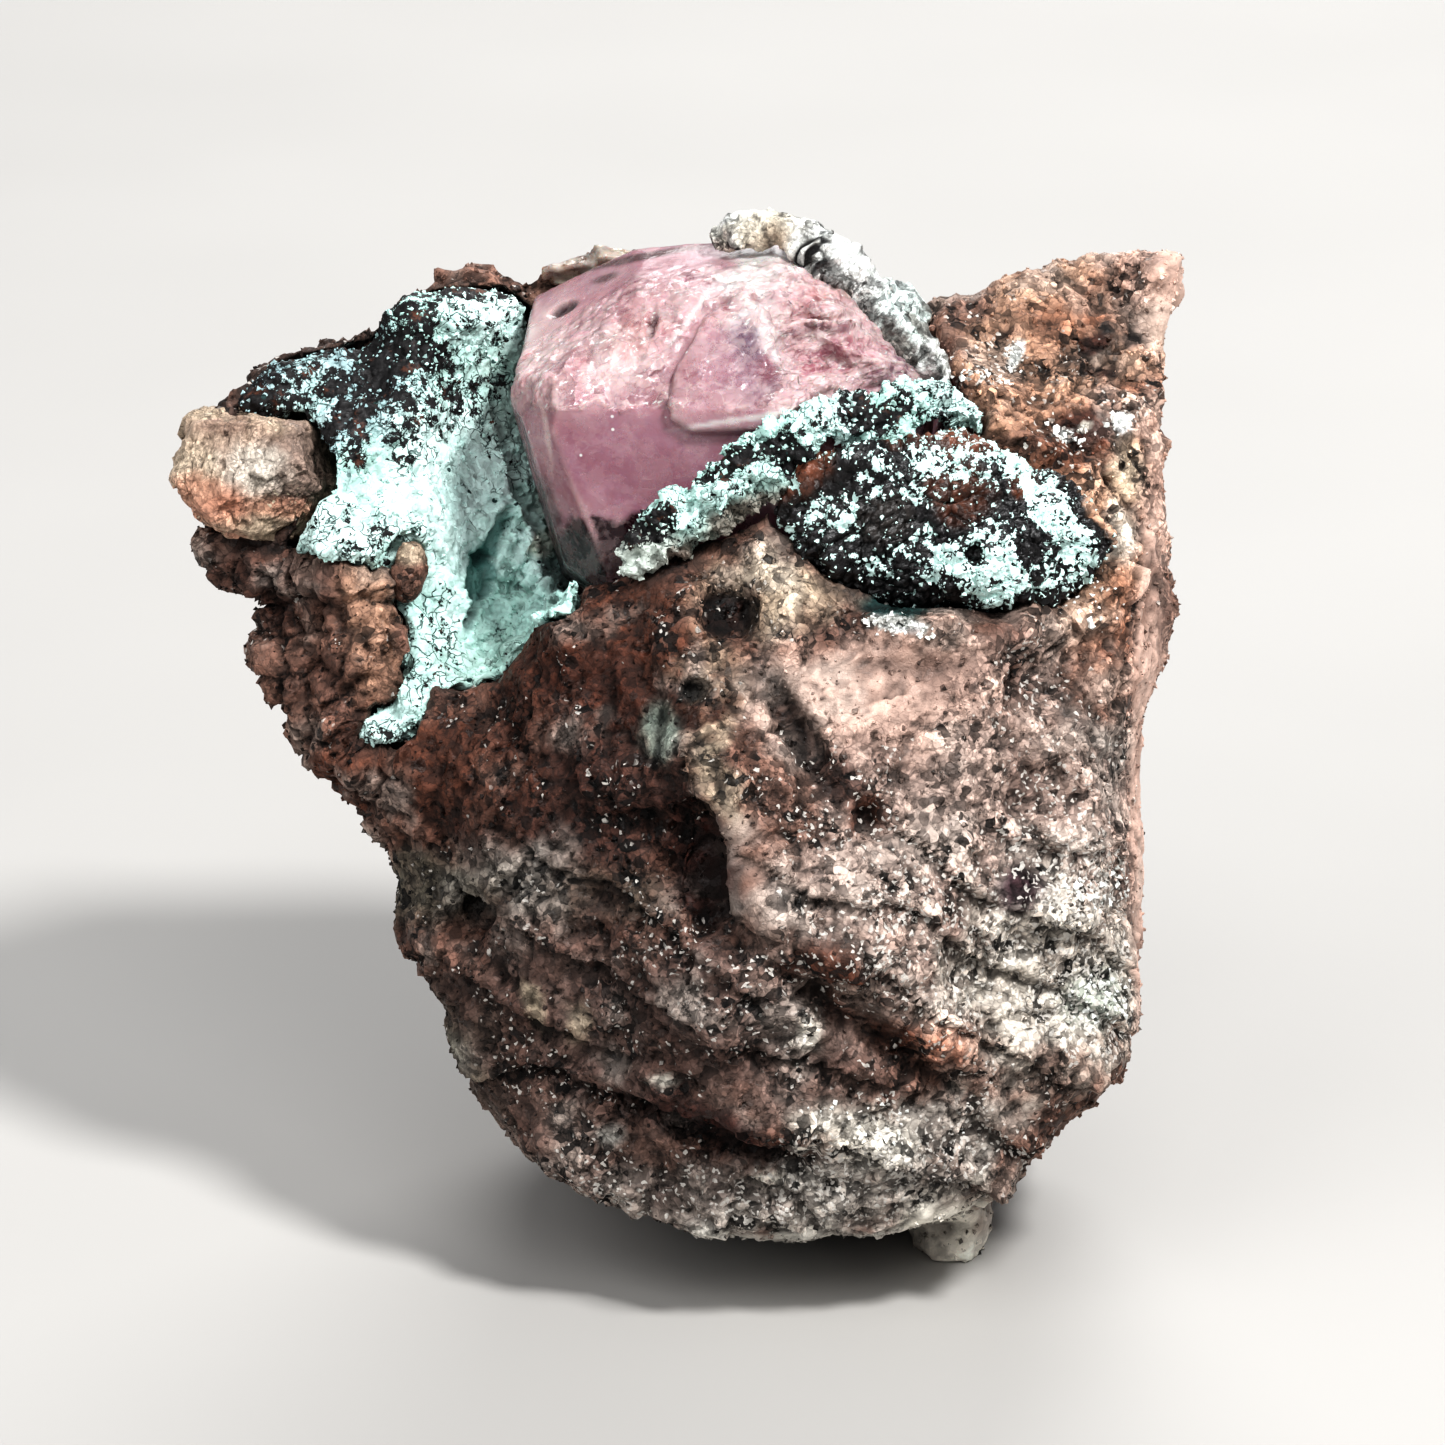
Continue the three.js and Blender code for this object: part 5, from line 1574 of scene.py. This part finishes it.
@dataclass
class HostRock:
    """The brown host rock with its broken facets, beds, pits, lumps and loose grains.

    Attributes:
        cell: Size of the skin's cells before it is thinned, in millimetres.
        most: The most triangles that its skin keeps.
        crag: Height of its broken facets, in millimetres.
        ledge: How far its beds stand proud of one another, in millimetres.
        bank: How far it is banked up round the pieces that it holds, in millimetres.
        loose: How many loose grains lie on it.
        chalky: How many grains of chalk lie on it.
        bedding: The direction that its beds are stacked in, in face coordinates.
        colours: What is painted on its brown, zone by zone, with painted shade under its lip, ridge and
            ledges and in its pits among them.
        chips: Small marks on top of the zones, painted shade in the hollow below the mound among them.
        chalk: Where grains of chalk lie, and how densely.
        specked: Where it has pale specks, and how many.
        smooth: Where it is smoother.
        shoulder: Where it stays low beside the pieces that it holds.
        relief: Its pits, ridges and steps.
        flank: The lumpy left flank.
        lip: The streaked lip in front of the pocket.
    """

    cell: float = 0.27
    most: int = 196000
    crag: float = 1.2
    ledge: float = 0.6
    bank: float = 0.9
    loose: int = 19000
    chalky: int = 560
    bedding: tuple[float, float, float] = (0.40, 0.90, 0.10)
    colours: tuple[Patch, ...] = (
        Patch((13.5, -5.0), (10.5, 9.5), Tint.PINK_BEIGE, soft=0.35),
        Patch((9.7, 1.6), (5.4, 3.0), Tint.PALE_PINK, amount=0.7),
        Patch((3.9, 6.3), (3.4, 1.8), Tint.BEIGE),
        Patch((0.5, 2.6), (2.0, 2.6), Tint.BEIGE),
        Patch((1.8, -1.8), (1.3, 2.4), Tint.CREAM, turn=12, amount=0.7),
        Patch((-3.9, 3.6), (5.6, 5.2), Tint.RED_BROWN),
        Patch((-4.4, 1.0), (4.0, 3.2), Tint.DEEP_RED, amount=0.35, soft=0.7),
        # Painted shade under the lip, where the face turns from the light.
        Patch((-3.2, -2.6), (5.0, 3.2), Tint.DARK_BROWN, amount=0.8),
        # Painted shadow beside the ridge.
        Patch((1.6, -6.6), (1.3, 3.2), Tint.DARK_BROWN, turn=10),
        Patch((-17.4, 4.3), (6.0, 6.0), Tint.BROWN),
        Patch((-20.0, 7.0), (3.0, 2.4), Tint.DARK_BROWN, amount=0.7),
        Patch((-14.8, 4.6), (1.4, 3.6), Tint.TAN, amount=0.7),
        Patch((-12.6, -2.4), (5.4, 3.6), Tint.RED_BROWN),
        Patch((-12.0, -7.6), (4.4, 1.8), Tint.GREY_GREEN, amount=0.7),
        Patch((-3.8, -8.0), (3.2, 1.6), Tint.GREY_GREEN, amount=0.6),
        Patch((-10.4, -15.4), (2.4, 3.4), Tint.GREY_GREEN, turn=30, amount=0.8),
        Patch((-5.0, -13.0), (7.0, 5.0), Tint.GREY_BROWN, amount=0.7),
        Patch((4.6, -14.0), (6.4, 4.6), Tint.GREY_BROWN, amount=0.8),
        # Painted shadow under a ledge.
        Patch((9.2, -13.2), (5.4, 1.4), Tint.RED_BROWN, turn=-36),
        Patch((12.8, -14.6), (1.5, 1.2), Tint.ORANGE, amount=0.7),
        # Painted shadow under a ledge.
        Patch((0.6, -18.6), (5.6, 1.0), Tint.DEEP_RED, turn=-20),
        Patch((4.0, -22.4), (9.5, 1.9), Tint.GREY_WHITE, turn=3, amount=0.7),
        Patch((11.0, -19.6), (5.0, 1.6), Tint.GREY_WHITE, turn=14, amount=0.6),
        Patch((17.6, -12.0), (5.0, 4.6), Tint.BONE, amount=0.7),
        Patch((18.6, 14.6), (5.0, 3.2), Tint.RUST, turn=10, amount=0.8),
        Patch((16.6, 15.6), (3.4, 2.6), Tint.TAN, amount=0.7),
        Patch((20.2, 8.6), (3.0, 4.2), Tint.TAN),
        Patch((21.6, 5.6), (1.2, 2.0), Tint.RUST, amount=0.6),
        Patch((19.3, 19.8), (5.0, 3.4), Tint.TAN, front=-30),
        Patch((23.6, 22.2), (2.6, 3.0), Tint.PALE_PINK, front=-30, amount=0.9),
        Patch((20.8, 20.6), (1.6, 1.4), Tint.RED_BROWN, amount=0.5),
        Patch((19.8, 18.3), (1.7, 1.1), Tint.CHARCOAL, turn=20, amount=0.8),
        Patch((18.0, 13.6), (2.6, 0.9), Tint.DEEP_RED, turn=-5, amount=0.6),
        Patch((19.9, 14.5), (1.9, 1.1), Tint.DEEP_RED, amount=0.9, soft=0.4),
        Patch((21.6, 12.5), (0.9, 1.5), Tint.CREAM, turn=10, amount=0.6),
        Patch((21.2, 9.4), (0.9, 1.2), Tint.BONE, amount=0.7),
        Patch((22.8, -2.0), (1.2, 15.0), Tint.PALE_PINK, front=-30),
        Patch((16.0, -7.5), (1.2, 1.1), Tint.PURPLE_BLACK),
        Patch((19.4, 0.6), (1.0, 2.6), Tint.CHARCOAL, turn=40, amount=0.6),
        # Painted shade in the grooves and the pit below.
        Patch((5.9, -0.4), (0.8, 3.0), Tint.DARK_BROWN, turn=30, amount=0.85),
        Patch((8.0, -2.4), (0.7, 1.6), Tint.DARK_BROWN, turn=35, amount=0.8),
        Patch((8.8, -3.9), (0.8, 1.1), Tint.RED_BROWN),
        Patch((4.8, -3.6), (1.6, 2.2), Tint.BROWN, turn=20, amount=0.85, soft=0.25),
        Patch((19.9, -12.9), (1.6, 1.3), Tint.TEAL_GREY, amount=0.6),
        Patch((20.0, 2.6), (1.6, 2.4), Tint.RUST, turn=20, amount=0.4),
        Patch((3.2, -0.9), (1.0, 1.0), Tint.BROWN),
        # Painted shade in the two pits below.
        Patch((2.4, 5.6), (1.4, 1.6), Tint.DARK_BROWN),
        Patch((0.7, 1.9), (0.8, 0.6), Tint.CHARCOAL),
        Patch((-1.0, -0.2), (0.8, 1.2), Tint.TEAL_GREY, amount=0.6),
        Patch((-7.0, -13.0), (0.4, 1.1), Tint.CREAM, turn=25),
        Patch((-4.8, -13.9), (0.6, 0.8), Tint.CREAM, amount=0.8),
        Patch((-10.1, 22.6), (4.4, 1.4), Tint.BROWN, front=-20),
        Patch((-19.0, 18.6), (6.0, 1.8), Tint.CHARCOAL, turn=32, front=-20, amount=0.7),
        Patch((5.0, -24.8), (9.0, 0.7), Tint.GREY_WHITE, front=-20, amount=0.8),
        # Painted shade in the hollow left of the ridge, under the lip and over the lower left, which lies
        # further from the light.
        Patch((0.8, -6.2), (1.6, 3.0), Tint.DEEP_RED, turn=12, amount=0.9, soft=0.25),
        Patch((-4.0, -5.0), (5.0, 1.6), Tint.DARK_BROWN, amount=0.6),
        Patch((-6.0, -12.0), (9.0, 8.0), Tint.DARK_BROWN, amount=0.5, soft=0.7),
        Patch((-4.0, -20.0), (6.0, 3.0), Tint.GREY_BROWN, turn=-25, amount=0.6, soft=0.7),
        Patch((-9.0, -6.4), (2.0, 1.2), Tint.GREY_WHITE, amount=0.35),
        Patch((8.4, -19.2), (2.4, 1.3), Tint.BONE, turn=-20, amount=0.7),
        Patch((4.0, -21.4), (0.9, 0.3), Tint.BONE),
        Patch((-3.2, -19.4), (0.8, 0.6), Tint.GREY_WHITE),
        Patch((-0.7, -16.6), (0.6, 0.3), Tint.BONE),
        Patch((6.0, -14.3), (0.6, 0.8), Tint.BONE, amount=0.8),
        Patch((3.5, -25.3), (8.8, 1.3), Tint.GREY_WHITE, front=-30),
        Patch((13.2, -24.8), (2.4, 2.2), Tint.BONE, front=-30),
        Patch((19.0, 20.2), (2.4, 1.3), Tint.RUST, turn=35, amount=0.6),
    )
    chips: tuple[Patch, ...] = (
        # Painted shade in the small hollow below the mound; the white rim under it is chalk.
        Patch((10.1, 5.8), (1.5, 0.75), Tint.TEAL_DARK, soft=0.15),
        Patch((10.4, 4.95), (1.6, 0.3), Tint.WHITE, turn=-10, soft=0.2),
        Patch((16.2, 18.1), (0.3, 0.8), Tint.WHITE, turn=-15, soft=0.2),
        Patch((21.2, 14.8), (0.45, 0.55), Tint.WHITE, soft=0.2),
        Patch((18.6, 14.1), (0.4, 0.3), Tint.WHITE, soft=0.2),
        Patch((19.4, 14.5), (0.25, 0.25), Tint.BONE, soft=0.2),
        Patch((20.0, 18.6), (0.9, 0.5), Tint.DARK_BROWN, turn=30, soft=0.3),
        Patch((20.8, 19.5), (0.5, 0.35), Tint.CHARCOAL, soft=0.3),
        Patch((22.0, 19.0), (0.6, 0.25), Tint.CHARCOAL, soft=0.3, amount=0.8),
        Patch((20.4, 17.3), (1.0, 0.3), Tint.DARK_BROWN, turn=-10, soft=0.3),
    )
    chalk: tuple[Patch, ...] = (
        Patch((10.4, 4.95), (1.7, 0.35), turn=-10, soft=0.2),
        Patch((16.2, 18.1), (0.45, 0.9), turn=-15, soft=0.2),
        Patch((21.2, 14.8), (0.55, 0.6), soft=0.2),
        Patch((18.6, 14.1), (1.2, 0.45), turn=-25, amount=0.5, soft=0.2),
        Patch((14.1, 17.0), (1.5, 0.22), turn=-12, amount=0.4, soft=0.2),
        Patch((19.6, 6.2), (1.4, 1.4), amount=0.06, soft=0.5),
        Patch((19.6, -7.6), (1.8, 0.8), amount=0.25, soft=0.4),
        Patch((19.9, -12.9), (1.5, 1.2), amount=0.15, soft=0.4),
        Patch((9.6, -18.6), (3.0, 0.8), turn=-10, amount=0.08, soft=0.4),
    )
    specked: tuple[Patch, ...] = (
        Patch((19.8, -7.2), (2.4, 1.8), amount=0.6),
        Patch((19.6, -13.0), (2.8, 2.4), amount=0.9),
        Patch((11.0, -19.6), (6.0, 2.0), amount=0.6),
        Patch((4.0, -22.4), (9.5, 1.9), amount=0.5),
        Patch((14.9, 17.6), (1.6, 1.1), amount=0.3),
        Patch((18.4, 14.6), (4.0, 2.0), amount=0.2),
        Patch((-10.4, -15.4), (3.4, 3.4), amount=0.15),
        Patch((13.0, -5.0), (9.0, 9.0), amount=0.35),
        Patch((17.0, -10.0), (5.0, 6.0), amount=0.3),
        Patch((2.0, -13.0), (9.0, 5.0), amount=0.15),
        Patch((-19.0, 18.6), (6.0, 1.6), turn=32, front=-20, amount=0.2),
    )
    smooth: tuple[Patch, ...] = (
        Patch((22.6, -4.0), (0.9, 12.5), amount=0.8, front=-30),
        Patch((3.5, -25.3), (8.8, 1.1), front=-30),
        Patch((13.2, -24.8), (2.4, 2.2), front=-30),
        Patch((24.6, 21.5), (1.5, 3.6), amount=0.8, front=-30),
        Patch((9.4, 2.2), (4.4, 2.2), amount=0.5),
        Patch((13.0, -3.0), (2.2, 3.0), amount=0.35),
        Patch((2.6, -6.0), (1.6, 2.6), amount=0.5),
    )
    shoulder: tuple[Patch, ...] = (
        Patch((-18.8, 18.6), (6.4, 2.2), turn=30, amount=1.4, front=-20),
        Patch((-10.2, 22.4), (5.0, 1.8), amount=1.3, front=-20),
        Patch((8.0, 24.0), (6.0, 3.0), turn=-35, amount=0.9, front=-20),
    )
    relief: tuple[Patch, ...] = (
        Patch((5.9, -0.4), (0.7, 2.8), turn=30, amount=-0.8),
        Patch((2.4, 5.6), (1.2, 1.3), amount=-1.0),
        Patch((0.7, 1.9), (0.6, 0.5), amount=-0.8),
        Patch((8.8, -3.9), (0.6, 0.9), amount=-0.6),
        Patch((10.1, 5.9), (1.4, 0.6), amount=-0.9),
        Patch((10.2, 5.0), (1.6, 0.3), turn=-8, amount=0.4),
        Patch((1.8, -1.8), (1.2, 2.6), turn=12, amount=0.6),
        Patch((0.8, -6.4), (1.7, 3.0), turn=12, amount=-1.2, soft=0.2),
        Patch((-1.0, -5.6), (3.2, 2.8), turn=12, amount=-0.4, soft=0.9),
        Patch((3.8, -6.8), (1.5, 4.2), turn=12, amount=0.6, soft=0.3),
        Patch((12.6, 8.4), (9.4, 5.4), turn=-10, amount=0.7),
        Patch((0.6, -19.2), (5.4, 0.8), turn=-20, amount=-1.2),
        Patch((0.6, -17.6), (5.6, 0.8), turn=-20, amount=0.6),
        Patch((9.0, -14.4), (5.0, 0.8), turn=-36, amount=-1.2),
        Patch((9.8, -12.6), (5.2, 0.9), turn=-36, amount=0.6),
        Patch((-15.6, 3.8), (1.4, 1.4), amount=0.5),
    )
    flank: Patch = Patch((-17.0, 3.0), (6.0, 8.0), soft=0.4, front=-20)
    lip: Patch = Patch((-3.0, 0.5), (5.0, 5.0), soft=0.5)

    def build(self, neighbours: list[Skin]) -> None:
        """Sculpts, paints and places the rock and its loose grains.

        Args:
            neighbours: The skins of the pieces that the rock holds.
        """
        skin = Skin.of_node("host_rock", self.cell).relax(2)
        points = skin.points
        away = Nearby(neighbours).distance(points)
        beside = Nearby(neighbours, flat=True).distance(points)
        free = np.maximum(ease(0.4, 1.8, away), ease(0.0, 0.7, beside))
        shoulder = raised(points, self.shoulder)
        bank = (self.bank - shoulder) * ease(0.1, 0.7, beside) * ease(3.2, 0.9, away)
        skin.push(free * self._heights(points) + bank)
        skin = skin.thinned(self.most)
        away = Nearby(neighbours).distance(skin.points)
        self._dress(skin, away)
        skin.piece("host_rock_body", StoneFinish("host_rock").material(), "host_rock", "host_rock")
        self._scatter(skin, ease(0.1, 0.6, away))

    def _heights(self, points: np.ndarray) -> np.ndarray:
        """Works out how far the rock's surface stands off its solid.

        Args:
            points: Places in face coordinates.

        Returns:
            The height at each point, in millimetres.
        """
        coarse = Pebbles.at(warped(points, 4.0, 1.2, seed=90), 3.8, seed=91).facets()
        middle = Pebbles.at(warped(points, 2.0, 0.6, seed=98), 1.8, seed=99).facets()
        fine = Pebbles.at(warped(points, 1.0, 0.3, seed=89), 0.9, seed=94).facets()
        crag = self.crag * (0.5 * coarse + 0.45 * middle + 0.36 * fine)
        bed = points @ np.array(self.bedding) / 3.6 + 0.5 * ripple(points, 7.0, 2, seed=92)
        low = ease(-1.0, -8.0, points[:, 1])
        ledges = self.ledge * low * (0.5 - (bed - np.floor(bed)))
        flank = raised(points, (self.flank,), 0.0)
        lumps = 0.6 * flank * (Pebbles.at(points, 1.7, seed=93).domes() - 0.5)
        lip = raised(points, (self.lip,), 0.0)
        streaks = 0.45 * lip * ripple(points * (2.2, 0.7, 1.0), 1.6, 3, seed=95)
        rolling = 0.3 * ripple(points, 5.0, 3, seed=96)
        broken = 1.0 - 0.75 * np.clip(raised(points, self.smooth), 0.0, 1.0)
        return broken * (crag + ledges + lumps + streaks) + rolling + raised(points, self.relief)

    def _dress(self, skin: Skin, away: np.ndarray) -> None:
        """Paints the rock's zones, then its blotches, painted shade where it meets the pieces that it holds,
        and painted shade in its hollows and highlight on its bumps.

        Args:
            skin: The rock's skin.
            away: How far each point is from the pieces that the rock holds, in millimetres.
        """
        points = skin.points
        skin.colours = painted(points, Tint.BROWN.rgb, self.colours)
        blotch = ripple(points, 2.6, 4, seed=97)
        skin.tinge(0.3 * ease(0.0, 0.7, blotch), Tint.GREY_WHITE)
        skin.tinge(0.5 * ease(0.0, 0.7, -blotch), Tint.DARK_BROWN)
        back = ease(-4.0, -8.0, points[:, 2])
        skin.tinge(0.6 * back * ease(-0.1, 0.6, ripple(points, 13.0, 3, seed=87)), Tint.PINK_BEIGE)
        skin.tinge(0.6 * back * ease(0.0, 0.6, ripple(points, 9.0, 3, seed=86)), Tint.GREY_BROWN)
        # Painted shade where the rock meets the pieces that it holds.
        skin.tinge(0.55 * ease(1.0, 0.2, away + 0.4 * ripple(points, 0.9, 3, seed=88)), Tint.CHARCOAL)
        skin.colours = painted(points, skin.colours, self.chips)
        skin.mask = np.clip(raised(points, self.specked, 0.5) - 2.0 * raised(points, self.smooth), -1.0, 1.0)
        skin.shade(rounds=4, size=0.12, dark=0.4, light=1.3)
        skin.shade(rounds=30, size=0.5, dark=0.5, light=1.2)

    def _scatter(self, skin: Skin, free: np.ndarray) -> None:
        """Scatters loose grains and chalk over the rock, some of the grains darker, some brighter and a few
        with painted glints.

        Args:
            skin: The rock's skin.
            free: How clear each point is of the pieces that the rock holds, from 0 to 1.
        """
        random = np.random.default_rng(SEED)
        grains = skin.grains(self.loose, (0.07, 0.23), free, SEED)
        brightness = np.repeat(random.choice([0.4, 0.8, 1.2], self.loose, p=[0.3, 0.35, 0.35]), 6)
        grains.colours = grains.colours * brightness[:, None]
        # A few grains get painted glints.
        grains.tinge(np.repeat(random.choice([0.0, 0.6], self.loose, p=[0.97, 0.03]), 6), Tint.SPARKLE)
        finish = StoneFinish("loose_grains", grain=0.25, dark=0.8, light=1.2, gaps=0.6, relief=0.3)
        grains.piece("host_rock_grains", finish.material(), "host_rock", smooth=False)
        chalk = skin.grains(self.chalky, (0.09, 0.28), raised(skin.points, self.chalk), SEED + 5)
        chalk.colours[:] = Tint.WHITE.rgb
        chalk.piece("host_rock_chalk", CrustFinish("chalk_specks").material(), "host_rock", smooth=False)


@dataclass(frozen=True)
class Lamp:
    """A soft round light that faces the specimen.

    Attributes:
        name: The light's name.
        place: Where it is, in face coordinates, in millimetres.
        size: Its width, in metres.
        power: Its power, in watts.
    """

    name: str
    place: tuple[float, float, float]
    size: float
    power: float


@dataclass
class Studio:
    """The pale floor, the soft lights and the camera.

    Attributes:
        floor: Width of the floor, in metres.
        greys: The floor's two greys, as a screen shows them.
        sky: The colour of the light from all round.
        sky_strength: How strong that light is.
        target: What the camera and the lights look at, in face coordinates.
        distance: How far the camera is from it, in millimetres.
        view: Width of the picture at the target, in millimetres.
        sensor: Width of the camera's sensor, in millimetres.
        lamps: The lights.
    """

    floor: float = 6.0
    greys: tuple[tuple[int, int, int], ...] = ((166, 164, 161), (174, 172, 169))
    sky: tuple[float, float, float] = (0.92, 0.95, 1.0)
    sky_strength: float = 0.28
    target: tuple[float, float, float] = (2.05, 0.36, 0.0)
    distance: float = 389.0
    view: float = 69.8
    sensor: float = 36.0
    lamps: tuple[Lamp, ...] = (
        Lamp("key_light", (290.0, 410.0, 480.0), 0.12, 4.5),
        Lamp("fill_light", (-380.0, 220.0, 460.0), 0.5, 1.4),
        Lamp("front_light", (40.0, 280.0, 600.0), 0.3, 0.8),
        Lamp("top_light", (60.0, 420.0, -260.0), 0.3, 1.2),
    )

    def build(self) -> None:
        """Puts the floor, the lights and the camera in the scene."""
        self._floor()
        for lamp in self.lamps:
            self._light(lamp)
        self._sky()
        self._camera()
        bpy.context.scene.view_settings.view_transform = "Standard"
        bpy.context.scene.view_settings.look = "High Contrast"

    def _floor(self) -> None:
        """Lays the pale floor under the specimen."""
        half = self.floor / 2.0
        mesh = bpy.data.meshes.new("floor")
        corners = [(-half, -half, 0.0), (half, -half, 0.0), (half, half, 0.0), (-half, half, 0.0)]
        mesh.from_pydata(corners, [], [(0, 1, 2, 3)])
        graph = Graph("pale_floor")
        colour = graph.mixed(graph.noise(40.0, 2.0, 0.5), *(srgb(*grey) for grey in self.greys))
        mesh.materials.append(graph.finish(Base_Color=colour, Roughness=0.7))
        linked("floor", mesh)

    def _light(self, lamp: Lamp) -> None:
        """Hangs one of the lights.

        Args:
            lamp: The light.
        """
        data = bpy.data.lights.new(lamp.name, "AREA")
        data.shape = "DISK"
        data.size = lamp.size
        data.energy = lamp.power
        self._aim(linked(lamp.name, data), lamp.place)

    def _sky(self) -> None:
        """Lights the scene faintly from all round."""
        world = bpy.data.worlds.new("soft_room")
        world.use_nodes = True
        sockets = world.node_tree.nodes["Background"].inputs
        sockets["Color"].default_value = (*self.sky, 1.0)
        sockets["Strength"].default_value = self.sky_strength
        bpy.context.scene.world = world

    def _camera(self) -> None:
        """Places the camera straight in front of the face."""
        data = bpy.data.cameras.new("camera")
        data.sensor_width = self.sensor
        data.lens = self.sensor * self.distance / self.view
        data.clip_start = 0.01
        camera = linked("camera", data)
        u, v, _ = self.target
        self._aim(camera, (u, v, self.distance))
        bpy.context.scene.camera = camera

    def _aim(self, thing: bpy.types.Object, place: tuple[float, float, float]) -> None:
        """Puts a light or the camera at a place, facing the target.

        Args:
            thing: The light or the camera.
            place: The place, in face coordinates, in millimetres.
        """
        at, target = to_world(np.array([place, self.target]))
        thing.location = at
        thing.rotation_euler = Vector(target - at).to_track_quat("-Z", "Y").to_euler()


def main() -> None:
    """Builds the specimen's pieces in order, then the studio."""
    logging.basicConfig(level=logging.INFO, format="%(message)s")
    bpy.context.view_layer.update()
    neighbours = [
        PocketCrust().build(),
        OxideMound().build(),
        CrestCrust().build(),
        PinkCrystal().build(),
        WhiteRind().build(),
        RearCrystals().build(),
        *Fragments().build(),
    ]
    HostRock().build(neighbours)
    Studio().build()


if __name__ == "__main__":
    main()
